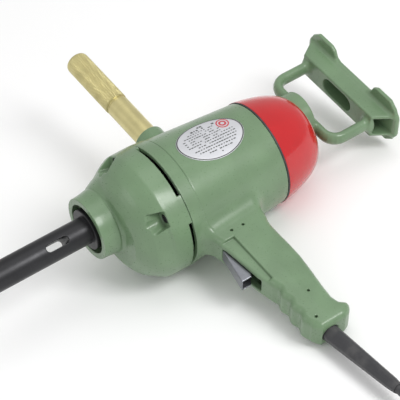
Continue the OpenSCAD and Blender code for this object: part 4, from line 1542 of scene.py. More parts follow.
@dataclass
class GearCasing:
    """The front casting: a drum on the motor axis and an eccentric neck on the spindle axis."""

    layout: Layout
    drum: tuple[tuple[float, float], ...] = (
        (-4.3, 72.3),
        (-16.0, 72.3),
        (-25.0, 72.0),
        (-29.0, 70.7),
        (-36.0, 67.3),
        (-44.0, 62.2),
        (-52.0, 53.2),
        (-56.0, 46.8),
        (-58.3, 42.0),
    )
    neck: tuple[tuple[float, float], ...] = (
        (-18.3, 46.0),
        (-44.0, 45.0),
        (-52.0, 42.6),
        (-57.0, 40.3),
        (-60.0, 38.6),
        (-66.3, 37.4),
        (-73.2, 36.4),
        (-81.2, 36.0),
    )
    pocket_x: float = -25.0
    pocket_r: float = 9.0
    land_half: float = 13.0
    hole_r: float = 3.3
    step: float = 1.15

    def field(self, x: Array, y: Array, z: Array) -> Array:
        """Distance to the casting.

        Args:
            x: Where the points are, in tool millimetres.
            y: The same.
            z: The same.

        Returns:
            The distance in millimetres, below 0 inside.
        """
        lay = self.layout
        r = np.hypot(y, z)
        spindle_r = np.hypot(y - lay.spindle_y, z)
        lean = np.arctan2(-y, z)
        falling = np.exp(-(((np.degrees(lean) - 58.0) / 17.0) ** 2))
        ledge = 1.5 * falling * np.clip((self.pocket_x - 1.0 - x) / 1.6, 0, 1)
        drum = turned_distance(x, r, smooth_profile(self.drum, 2)) + ledge
        drum = rounded(drum, x + lay.air_gap, 0.9)
        neck = turned_distance(x, spindle_r, smooth_profile(self.neck, 2))
        neck = rounded(neck, lay.nose_x - x, 1.3)
        crease = 0.6 * np.exp(-(((x + 60.5) / 0.9) ** 2))
        shape = fillet(drum, neck, 2.5) + crease * (spindle_r < 45)
        for y0, z0, angle in lay.screw_places():
            turn = math.radians(angle)
            out = (y * math.cos(turn) + z * math.sin(turn)) - lay.screw_r
            aside = z * math.cos(turn) - y * math.sin(turn)
            ahead = np.maximum(self.pocket_x - x, 0)
            floor = 0.2 * ahead - 7.0 - out
            walls = np.abs(aside) - self.pocket_r - 0.2 * ahead
            pocket = rounded(rounded(floor, walls, 2.5), x - self.pocket_x, 1.2)
            shape = carved(shape, np.maximum(pocket, -out - 20.0), 1.0)
            hole = np.hypot(y - y0, z - z0) - self.hole_r
            well = np.hypot(out + 0.6, aside) - 5.6
            shape = carved(shape, np.maximum(well, x + 17.0), 0.5)
            land = rounded(slab(r, 60.0, lay.flange_r), slab(x, -lay.air_gap - 1, 0.0), 0.4)
            wedge = np.abs(np.arctan2(aside, out + lay.screw_r)) - math.radians(self.land_half)
            shape = np.minimum(shape, rounded(land, wedge * 66.0, 0.8))
            shape = carved(shape, hole, 0.4)
        return carved(shape, self._chamber(x, r, y, z), 0.7)

    def _chamber(self, x: Array, r: Array, y: Array, z: Array) -> Array:
        """Distance to the bored and cored space inside the casting.

        Args:
            x: Where the points are, in tool millimetres.
            r: Their distance from the motor axis.
            y: The same.
            z: The same.

        Returns:
            The distance in millimetres, below 0 inside.
        """
        spindle_r = np.hypot(y - self.layout.spindle_y, z)
        lay_r = np.hypot(y + 15.07, z - 23.6)
        space = np.maximum(spindle_r - 17.5, x - 20)
        bores = (
            (spindle_r, 28.9, -90.0, -71.2),
            (spindle_r, 25.0, -70.2, 20.0),
            (spindle_r, 27.5, -61.6, 20.0),
            (spindle_r, 34.9, -47.1, 20.0),
            (lay_r, 10.3, -47.1, 20.0),
            (lay_r, 8.0, -53.1, 20.0),
            (r, 52.4, -20.3, 20.0),
        )
        for distance, radius, start, end in bores:
            space = np.minimum(space, np.maximum(distance - radius, slab(x, start, end)))
        return space

    def build(self, shop: Workshop) -> None:
        """Makes the casting.

        Args:
            shop: What makes and dresses the pieces.
        """
        net = SurfaceNet(
            self.field,
            (-84, -75, -75),
            (2, 75, 75),
            self.step,
            close_ups=((0, -62.4, -58.6, 0.4),),
        )
        shop.finish(
            shop.cast("gear_casing", net), Body.CASING, "green_enamel", ("gear_housing",)
        )


@dataclass
class MotorCasing:
    """The main casting: the motor barrel, the side bar's boss and the pistol grip."""

    layout: Layout
    boss_x: float = 47.0
    boss_r: float = 18.0
    boss_end: float = 87.0
    stud_r: float = 8.0
    wall: float = 5.0
    slot: tuple[float, float] = (-151.0, -94.0)
    slot_half: float = 8.8
    guard_x: float = 47.0
    guard_r: float = 10.0
    step: float = 1.5

    def grip(self, x: Array, y: Array, z: Array) -> Array:
        """Distance to the grip, with its ledge beside the trigger and its finger waves.

        Args:
            x: Where the points are, in tool millimetres.
            y: The same.
            z: The same.

        Returns:
            The distance in millimetres, below 0 inside.
        """
        lay = self.layout
        side = outline_distance(x, y, lay.grip_outline())
        front = 1 - np.clip((x - 34.0) / 12.0, 0, 1)
        wave = 1.3 * np.cos((y + 228.0) * 2 * math.pi / 18.5) * np.clip((-164 - y) / 8, 0, 1)
        side = side + wave * front * np.clip((y + 238.0) / 8.0, 0, 1)
        root = np.clip((y + 88.0) / 22.0, 0, 1)
        lip = np.clip((-216.0 - y) / 14.0, 0, 1)
        half = lay.grip_half - 1.2 * (1 - root) * (1 - lip) * np.clip((x - 50) / 30, 0, 1)
        body = rounded(side, np.abs(z) - half, 8.0)
        ledge = np.maximum(slab(y, -159.0, -92.0), x - 33.0)
        return carved(body, rounded(ledge, 14.3 - np.abs(z), 1.0), 1.4)

    def field(self, x: Array, y: Array, z: Array) -> Array:
        """Distance to the casting.

        Args:
            x: Where the points are, in tool millimetres.
            y: The same.
            z: The same.

        Returns:
            The distance in millimetres, below 0 inside.
        """
        lay = self.layout
        r = np.hypot(y, z)
        line = 0.8 * np.exp(-(((x - 16.8) / 0.7) ** 2)) * np.clip((y + 44.0) / 20.0, 0, 1)
        barrel = turned_distance(x, r, lay.barrel_profile()) + line
        barrel = rounded(barrel, -x, 0.9)
        boss = rounded(np.hypot(x - self.boss_x, z) - self.boss_r, y - self.boss_end, 1.6)
        boss = np.maximum(boss, 30.0 - y)
        shape = fillet(barrel, boss, 7.0)
        shape = fillet(shape, np.maximum(self.grip(x, y, z), y + 48.0), 13.0)
        shape = rounded(shape, -x, 0.9)
        return self._hollowed(shape, x, y, z, r)

    def _hollowed(
        self, shape: Array, x: Array, y: Array, z: Array, r: Array
    ) -> Array:
        """The casting, less its bores, slots and hollow grip.

        Args:
            shape: The casting so far.
            x: Where the points are, in tool millimetres.
            y: The same.
            z: The same.
            r: Their distance from the motor axis.

        Returns:
            The distance in millimetres, below 0 inside.
        """
        lay = self.layout
        share = (x + 1) / (lay.barrel_len + 2)
        inner = lay.flange_r - self.wall - 1.3
        bore = r - (inner + (lay.seam_r - self.wall - inner) * share)
        shape = np.maximum(shape, x - lay.barrel_len)
        shape = carved(shape, np.maximum(bore, slab(x, -20, 160)), 0.5)
        stud = np.hypot(x - self.boss_x, z) - self.stud_r
        shape = carved(shape, np.maximum(stud, 40.0 - y), 0.5)
        for k in range(-2, 3):
            turn = math.radians(-90 + 13 * k)
            out = y * math.cos(turn) + z * math.sin(turn)
            aside = z * math.cos(turn) - y * math.sin(turn)
            vent = rounded(slab(x, 106.4, 124.4), np.abs(aside) - 2.0, 1.8)
            shape = carved(shape, np.maximum(vent, 45.0 - out), 0.8)
        return self._grip_opened(shape, x, y, z)

    def _grip_opened(self, shape: Array, x: Array, y: Array, z: Array) -> Array:
        """The casting, less what is cut out of its grip.

        Args:
            shape: The casting so far.
            x: Where the points are, in tool millimetres.
            y: The same.
            z: The same.

        Returns:
            The distance in millimetres, below 0 inside.
        """
        lay = self.layout
        low, high = self.slot
        hollow = np.maximum(outline_distance(x, y, lay.grip_outline(8.0)), slab(z, -15, 14))
        hollow = np.maximum(hollow, np.minimum(38.0 - x, np.abs(z) - 9.5))
        hollow = np.maximum(hollow, slab(y, -228.0, -75.0))
        lid = np.maximum(outline_distance(x, y, lay.grip_outline(5.4)), z + 13.9)
        lid = np.maximum(lid, y + 73.0)
        mouth = rounded(np.maximum(x - 34.0, slab(y, low, high)), np.abs(z) - self.slot_half, 0.8)
        guard = np.hypot(x - self.guard_x, z) - self.guard_r
        wiring = np.maximum(slab(x, 30, 64), np.maximum(slab(y, -92, -52), np.abs(z) - 8))
        for hole, rim in (
            (hollow, 0.4),
            (lid, 0.4),
            (wiring, 0.4),
            (mouth, 1.2),
            (np.maximum(guard, y + 220.0), 0.9),
        ):
            shape = carved(shape, hole, rim)
        for hole_x, hole_y in lay.grip_holes:
            drill = np.hypot(x - hole_x, y - hole_y) - 1.6
            shape = carved(shape, np.maximum(drill, slab(y, -240, -70)), 0.5)
        return shape

    def build(self, shop: Workshop) -> None:
        """Makes the casting and the lid of its grip.

        Args:
            shop: What makes and dresses the pieces.
        """
        net = SurfaceNet(
            self.field,
            (-3, -244, -76),
            (133, 91, 76),
            self.step,
            close_ups=((0, 14.6, 18.6, 0.4), (2, 11.6, 18.6, 0.6)),
        )
        shop.finish(
            shop.cast("motor_casing", net), Body.CASING, "green_enamel", ("motor_housing",)
        )
        lid = SurfaceNet(self.lid, (10, -238, -20), (84, -66, -12), 0.9)
        shop.finish(shop.cast("grip_lid", lid), Body.CASING, "green_enamel", ("grip_cover",))

    def lid(self, x: Array, y: Array, z: Array) -> Array:
        """Distance to the grip's lid, with the countersinks of its screws.

        Args:
            x: Where the points are, in tool millimetres.
            y: The same.
            z: The same.

        Returns:
            The distance in millimetres, below 0 inside.
        """
        lay = self.layout
        side = outline_distance(x, y, lay.grip_outline(5.7))
        plate = rounded(np.maximum(side, y + 74.5), slab(z, -18.0, -14.1), 1.0)
        for hole_x, hole_y in lay.grip_holes:
            away = np.hypot(x - hole_x, y - hole_y)
            plate = carved(plate, away - 1.9, 0.3)
            plate = carved(plate, np.maximum(away - 3.4, z + 16.0), 0.3)
        return plate


@dataclass
class SpadeHandle:
    """The rear casting: a hub on the cover, two bent arms, the hand bar and the breast pads."""

    layout: Layout
    hub: tuple[float, float, float] = (180.0, 209.0, 28.0)
    half: float = 54.5
    bend_r: float = 16.0
    arm: tuple[float, float] = (5.8, 7.8)
    hand_x: float = 259.0
    breast_x: float = 286.0
    bar_half_z: float = 16.0
    skin: float = 3.6
    pad: tuple[tuple[float, float], ...] = (
        (-20, 16),
        (26, 16),
        (31, 19),
        (35, 27.5),
        (41, 31.5),
        (64, 31.5),
        (74, 23),
        (79, 11),
        (79, -11),
        (74, -23),
        (64, -31.5),
        (41, -31.5),
        (35, -27.5),
        (31, -19),
        (26, -16),
        (-20, -16),
    )
    step: float = 1.1

    def arm_line(self) -> list[tuple[float, float]]:
        """The middle line of an arm, in x and y from the handle's own axis.

        Returns:
            Its points, from the hub to the hand bar.
        """
        x0 = self.hub[1] + 0.5
        turn = [math.radians(a) for a in range(0, 91, 15)]
        bend = [
            (
                x0 + self.bend_r - self.bend_r * math.cos(a),
                self.half - self.bend_r + self.bend_r * math.sin(a),
            )
            for a in turn
        ]
        return [(x0, 0.0), *bend, (self.hand_x + 3.0, self.half)]

    def field(self, x: Array, y: Array, z: Array) -> Array:
        """Distance to the casting.

        Args:
            x: Where the points are, in tool millimetres.
            y: The same.
            z: The same.

        Returns:
            The distance in millimetres, below 0 inside.
        """
        across = y - self.layout.spindle_y
        far = np.abs(across)
        hub_start, hub_end, hub_r = self.hub
        hub = rounded(np.hypot(across, z) - hub_r, slab(x, hub_start, hub_end), 2.4)
        seat = turned_distance(x, np.hypot(y, z), self.cover_profile())
        hub = np.maximum(hub, 0.12 - seat)
        rx, rz = self.arm
        line = line_distance(x, far, self.arm_line())
        near = np.hypot(line / rx, z / rz)
        arm = near * (near - 1) / np.maximum(np.hypot(line / rx**2, z / rz**2), 1e-6)
        shape = fillet(hub, arm, 4.0)
        shape = fillet(shape, self._hand_bar(x, far, z), 6.0)
        pad = outline_distance(far, z, self.pad)
        pad = rounded(pad, slab(x, self.breast_x - 5.0, self.breast_x), 1.8)
        shape = fillet(shape, pad, 5.0)
        hole = rounded(self._slot(across, z), self.hand_x - 5 - x, 0.5)
        hole = np.maximum(hole, x - self.breast_x + self.skin + 0.4)
        shape = carved(shape, hole, 1.4)
        for side in (-1, 1):
            screw = np.hypot(across, z - side * 12.0)
            shape = carved(shape, np.maximum(screw - 3.3, slab(x, 180, 240)), 0.4)
            shape = carved(shape, np.maximum(screw - 5.5, slab(x, 201.0, 240.0)), 0.7)
        return shape

    @staticmethod
    def cover_profile() -> list[tuple[float, float]]:
        """The rear cover's outside, as (x, radius), that the hub is scribed to."""
        turn = [math.radians(a) for a in (0, 20, 35, 50, 60, 68, 74, 79, 83, 86, 88.5)]
        return [
            (132.0 + 62.0 * math.sin(a) ** 1.67, 61.7 * math.cos(a) ** 0.4) for a in turn
        ]

    def _hand_bar(self, x: Array, far: Array, z: Array) -> Array:
        """Distance to the hand bar, whose top and bottom walls flare past its open ends.

        Args:
            x: Where the points are, in tool millimetres.
            far: Their distance from the handle's middle plane.
            z: The same.

        Returns:
            The distance in millimetres, below 0 inside.
        """
        plan = [
            (self.hand_x, -20.0),
            (self.hand_x, 61.0),
            (self.breast_x - 2.0, 77.0),
            (self.breast_x - 2.0, -20.0),
        ]
        bar = rounded(outline_distance(x, far, plan), np.abs(z) - self.bar_half_z, 2.6)
        end = np.maximum(slab(x, self.hand_x - 9, self.breast_x - 4.6), 61.6 - far)
        deep = np.maximum(slab(x, self.hand_x + self.skin, self.breast_x - 4.6), 30.0 - far)
        inside = np.abs(z) - self.bar_half_z + self.skin
        return carved(bar, np.maximum(np.minimum(end, deep), inside), 1.0)

    @staticmethod
    def _slot(across: Array, z: Array) -> Array:
        """Distance across the long slot in the front of the hand bar."""
        return np.hypot(np.maximum(np.abs(across) - 14.0, 0), z) - 10.5

    def build(self, shop: Workshop) -> None:
        """Makes the casting.

        Args:
            shop: What makes and dresses the pieces.
        """
        y0 = self.layout.spindle_y
        net = SurfaceNet(self.field, (192, y0 - 82, -36), (289, y0 + 82, 36), self.step)
        shop.finish(
            shop.cast("spade_handle_casting", net),
            Body.CASING,
            "green_enamel",
            ("spade_handle",),
        )


@dataclass
class Spindle:
    """The blacked spindle: its nose with the taper socket and drift slot, and its seats inside."""

    layout: Layout
    nose_r: float = 15.5
    socket: tuple[float, float, float] = (11.9125, 9.804, 84.0)
    slot: tuple[float, float, float, float] = (78.0, 27.0, 4.15, 122.0)
    seats: tuple[tuple[float, float, float], ...] = (
        (-82.7, -74.7, 23.5),
        (-81.2, -47.1, 15.0),
        (-48.1, -30.6, 12.5),
        (-46.1, -20.6, 7.5),
    )
    step: float = 0.75

    def field(self, x: Array, y: Array, z: Array) -> Array:
        """Distance to the spindle.

        Args:
            x: Where the points are, in tool millimetres.
            y: The same.
            z: The same.

        Returns:
            The distance in millimetres, below 0 inside.
        """
        tip, nose = self.layout.tip_x, self.layout.nose_x
        across = y - self.layout.spindle_y
        r = np.hypot(across, z)
        shape = rounded(r - self.nose_r, slab(x, tip, nose), 1.4)
        for start, end, radius in self.seats:
            shape = np.minimum(shape, rounded(r - radius, slab(x, start, end), 0.7))
        mouth, small, depth = self.socket
        taper = r - (mouth + (small - mouth) * (x - tip) / depth)
        shape = carved(shape, np.maximum(taper, x - tip - depth), 0.9)
        start, length, half, angle = self.slot
        turn = math.radians(angle)
        aside = z * math.cos(turn) - across * math.sin(turn)
        middle, reach = tip + start + length / 2, length / 2 - half
        slot = np.hypot(np.maximum(np.abs(x - middle) - reach, 0), aside) - half
        shape = carved(shape, slot, 0.9)
        key = np.maximum(slab(x, -46.6, -34.1), np.maximum(np.abs(across) - 3, 9.5 - z))
        return carved(shape, key, 0.3)

    def build(self, shop: Workshop) -> None:
        """Makes the spindle.

        Args:
            shop: What makes and dresses the pieces.
        """
        y0 = self.layout.spindle_y
        net = SurfaceNet(
            self.field, (self.layout.tip_x - 2, y0 - 25, -25), (-19, y0 + 25, 25), self.step
        )
        spindle = shop.cast("taper_spindle", net)
        shop.finish(spindle, Body.SPINDLE, "black_spindle", ("spindle",))


@dataclass
class Trigger:
    """The pressed trigger: a folded channel on its pin, open at the tip."""

    pivot: tuple[float, float] = (23.0, -100.5)
    side: tuple[tuple[float, float], ...] = (
        (-6.6, 5.5),
        (3.0, 6.0),
        (4.5, -6.0),
        (5.0, -28.0),
        (-2.0, -39.5),
        (-14.5, -39.5),
    )
    half: float = 7.8
    sheet: float = 1.6
    pin_r: float = 2.05
    step: float = 0.5

    def field(self, x: Array, y: Array, z: Array) -> Array:
        """Distance to the channel.

        Args:
            x: Where the points are, in tool millimetres.
            y: The same.
            z: The same.

        Returns:
            The distance in millimetres, below 0 inside.
        """
        u, v = x - self.pivot[0], y - self.pivot[1]
        outer = rounded(outline_distance(u, v, self.side), np.abs(z) - self.half, 1.3)
        back = [(-6.9 + self.sheet, 5.9), (-14.7 + self.sheet, -41.0), (21.6, -41.0), (21.6, 5.9)]
        inner = rounded(outline_distance(u, v, back), np.abs(z) - self.half + self.sheet, 0.6)
        return carved(carved(outer, inner, 0.35), np.hypot(u, v) - self.pin_r, 0.2)

    def build(self, shop: Workshop) -> None:
        """Makes the trigger on the lever's body.

        Args:
            shop: What makes and dresses the pieces.
        """
        x0, y0 = self.pivot
        net = SurfaceNet(self.field, (x0 - 17, y0 - 42, -10), (x0 + 8, y0 + 8, 10), self.step, 1)
        trigger = shop.cast("trigger_channel", net)
        shop.finish(trigger, Body.TRIGGER, "pressed_steel", ("trigger",))


# What repeats, or follows a rule ------------------------------------------------------


class Rig(Tree):
    """A Geometry Nodes tree with named sizes, which turns a starting mesh into a piece."""

    KINDS = {float: "NodeSocketFloat", int: "NodeSocketInt", tuple: "NodeSocketVector"}

    def __init__(self, name: str, sizes: dict[str, float | int | Rgb]) -> None:
        """Makes the tree with its inputs.

        Args:
            name: The tree's name.
            sizes: The named inputs with their values, in tool metres or radians.
        """
        super().__init__(bpy.data.node_groups.new(name, "GeometryNodeTree"))
        sockets = self.tree.interface
        sockets.new_socket("Geometry", in_out="INPUT", socket_type="NodeSocketGeometry")
        sockets.new_socket("Material", in_out="INPUT", socket_type="NodeSocketMaterial")
        for label, size in sizes.items():
            sockets.new_socket(label, in_out="INPUT", socket_type=self.KINDS[type(size)])
        sockets.new_socket("Geometry", in_out="OUTPUT", socket_type="NodeSocketGeometry")
        self.sizes = sizes
        self.start = self.tree.nodes.new("NodeGroupInput")
        self.end = self.tree.nodes.new("NodeGroupOutput")

    def size(self, label: str) -> Value:
        """One of the tree's named inputs."""
        return Value(self, self.start.outputs[label])

    def place_xyz(self) -> tuple[Value, Value, Value]:
        """The three coordinates of each point."""
        split = self.tree.nodes.new("ShaderNodeSeparateXYZ")
        self.link(split.inputs[0], self.node("GeometryNodeInputPosition"))
        return tuple(Value(self, split.outputs[k]) for k in range(3))

    def grid(self, width: Any, height: Any, columns: int, rows: int) -> Value:
        """A flat grid round the origin.

        Args:
            width: Its size along x.
            height: Its size along y.
            columns: How many points stand along x.
            rows: How many points stand along y.

        Returns:
            The grid.
        """
        names = ("Size X", "Size Y", "Vertices X", "Vertices Y")
        sizes = dict(zip(names, (width, height, columns, rows)))
        return self.node("GeometryNodeMeshGrid", inputs=sizes)

    def welded(self, geometry: Value) -> Value:
        """The geometry, with points that share a place made one."""
        inputs = {"Geometry": geometry, "Distance": 0.01 * MM}
        return self.node("GeometryNodeMergeByDistance", inputs=inputs)

    def moved(self, geometry: Value, x: Value, y: Value, z: Value) -> Value:
        """The geometry with each point put at x, y and z."""
        at = self.node("ShaderNodeCombineXYZ", inputs={0: x, 1: y, 2: z})
        return self.node(
            "GeometryNodeSetPosition", inputs={"Geometry": geometry, "Position": at}
        )

    def joined(self, *parts: Value) -> Value:
        """Several geometries as one."""
        join = self.tree.nodes.new("GeometryNodeJoinGeometry")
        for part in parts:
            self.link(join.inputs[0], part)
        return Value(self, join.outputs[0])

    def painted(self, geometry: Value) -> Value:
        """The geometry, with its instances made real, in the tree's material."""
        real = self.node("GeometryNodeRealizeInstances", inputs={"Geometry": geometry})
        return self.node(
            "GeometryNodeSetMaterial",
            inputs={"Geometry": real, "Material": self.size("Material")},
        )

    def make(self, made: bpy.types.Object, result: Value, finish: Finish, tool: ToolFrame) -> None:
        """Turns an object's mesh into what the tree makes of it, in row metres.

        Args:
            made: The object that holds the starting mesh, in tool metres.
            result: What the tree puts out.
            finish: The finish of what the tree adds.
            tool: The frame that the result is placed with.
        """
        self.link(self.end.inputs[0], result)
        modifier = made.modifiers.new(self.tree.name, "NODES")
        modifier.node_group = self.tree
        given = {**self.sizes, "Material": finish.material(tool)}
        for item in self.tree.interface.items_tree:
            if item.in_out == "INPUT" and item.name in given:
                modifier[item.identifier] = given[item.name]
        graph = bpy.context.evaluated_depsgraph_get()
        mesh = bpy.data.meshes.new_from_object(made.evaluated_get(graph))
        made.modifiers.clear()
        made.data = mesh
        mesh.transform(tool.matrix())


def triangle_wave(turn: Value) -> Value:
    """A wave that runs straight from 1 to 0 and back for every whole turn."""
    return (turn.fraction() * 2 - 1).absolute()


@dataclass
class SideBar:
    """The side bar: a turned neck and a knurled grip with a rounded end, on its stud."""

    layout: Layout
    x: float = 47.0
    radius: float = 14.0
    neck_r: float = 13.4
    stud_r: float = 7.9
    start: float = 87.0
    neck_end: float = 150.0
    reach: float = 234.0
    starts: int = 38
    across_start: int = 7
    rows: int = 240
    pitch: float = 2.3
    depth: float = 0.6

    def core(self) -> Mesh:
        """The turned body under the knurl, as a mesh in tool millimetres.

        Returns:
            The points and the faces.
        """
        round_end = [
            (self.reach - 3.0 + 3.0 * math.sin(a), self.radius - 3.4 + 3.0 * math.cos(a))
            for a in np.linspace(0, math.pi / 2, 7)
        ]
        profile = [
            (self.layout.flange_r - 8.5, 0),
            (self.layout.flange_r - 8.5, self.stud_r),
            (self.start - 0.01, self.stud_r),
            (self.start, self.neck_r - 0.9),
            (self.start + 0.9, self.neck_r),
            (self.neck_end - 3.0, self.neck_r),
            (self.neck_end - 1.5, self.neck_r - 0.9),
            (self.neck_end, self.neck_r - 0.9),
            (self.neck_end + 0.4, self.radius - self.depth - 0.1),
            *round_end,
            (self.reach, 0),
        ]
        points, faces = lathe(profile, 96)
        along, y, z = points.T
        return np.stack([self.x - y, along, z], axis=1), faces

    def build(self, shop: Workshop) -> None:
        """Makes the bar, with its knurl as one rule over a fine grid.

        Args:
            shop: What makes and dresses the pieces.
        """
        points, faces = self.core()
        bar = shop.piece("knurled_side_bar", points * MM, faces, 30.0)
        bar.data.materials.append(Finishes.ZINC.material(shop.tool))
        length = (self.reach - self.neck_end - 4.2) * MM
        rig = Rig(
            "diamond_knurl",
            {
                "Across": self.x * MM,
                "Start": (self.neck_end + 0.8) * MM,
                "Length": length,
                "Radius": self.radius * MM,
                "Depth": self.depth * MM,
                "Pitch": self.pitch * MM,
                "Starts": float(self.starts),
            },
        )
        round_rows = self.starts * self.across_start + 1
        sheet = rig.grid(rig.size("Length"), 2 * math.pi, self.rows, round_rows)
        along, turn, _ = rig.place_xyz()
        around = turn * rig.size("Starts") / (2 * math.pi)
        lead = along / rig.size("Pitch")
        left, right = triangle_wave(around + lead + 50.0), triangle_wave(around - lead + 50.0)
        height = (left.lesser(right) * 1.5).lesser(1.0)
        half = rig.size("Length") / 2
        to_end = half - along.absolute()
        sunk = 1 - to_end.ramp(0.0, 0.0007)
        radius = rig.size("Radius") - rig.size("Depth") * (1 - height) - sunk * 0.0009
        knurl = rig.moved(
            sheet,
            rig.size("Across") + radius * turn.cosine(),
            rig.size("Start") + half + along,
            radius * turn.sine(),
        )
        knurl = rig.welded(knurl)
        rig.make(
            bar,
            rig.joined(rig.size("Geometry"), rig.painted(knurl)),
            Finishes.ZINC,
            shop.tool,
        )
        shop.finish(bar, Body.CASING, "zinc_bar", ("side_handle",))


@dataclass
class RearCover:
    """The red cover: a shell turned from one rule, closed under the spade handle's hub."""

    layout: Layout
    start: float = 132.0
    length: float = 62.0
    radius: float = 61.7
    wall: float = 3.5
    flat: float = 0.4
    roll: float = 1.67
    rows: int = 160
    sides: int = 144

    def build(self, shop: Workshop) -> None:
        """Makes the shell from a grid, whose rows run up the inside and back down the outside.

        Args:
            shop: What makes and dresses the pieces.
        """
        rig = Rig(
            "turned_dome",
            {
                "Start": self.start * MM,
                "Length": self.length * MM,
                "Radius": self.radius * MM,
                "Wall": self.wall * MM,
                "Flatness": self.flat,
                "Roll": self.roll,
            },
        )
        sheet = rig.grid(2.0, 2 * math.pi, self.rows, self.sides + 1)
        share, turn, _ = rig.place_xyz()
        angle = share.absolute().lesser(0.99999) * (math.pi / 2)
        inside = share.below(0.0) * rig.size("Wall")
        rise = angle.sine() ** rig.size("Roll")
        fall = angle.cosine() ** rig.size("Flatness")
        radius = (rig.size("Radius") - inside) * fall
        shell = rig.moved(
            sheet,
            rig.size("Start") + (rig.size("Length") - inside) * rise,
            radius * turn.cosine(),
            radius * turn.sine(),
        )
        shell = rig.welded(shell)
        cover = shop.piece("rear_dome_cover", np.zeros((0, 3)), [], None)
        rig.make(cover, rig.painted(shell), Finishes.CAP_RED, shop.tool)
        cover.data.shade_smooth()
        cover.data.set_sharp_from_angle(angle=math.radians(50))
        shop.finish(cover, Body.CASING, "red_cover", ("rear_cover",))


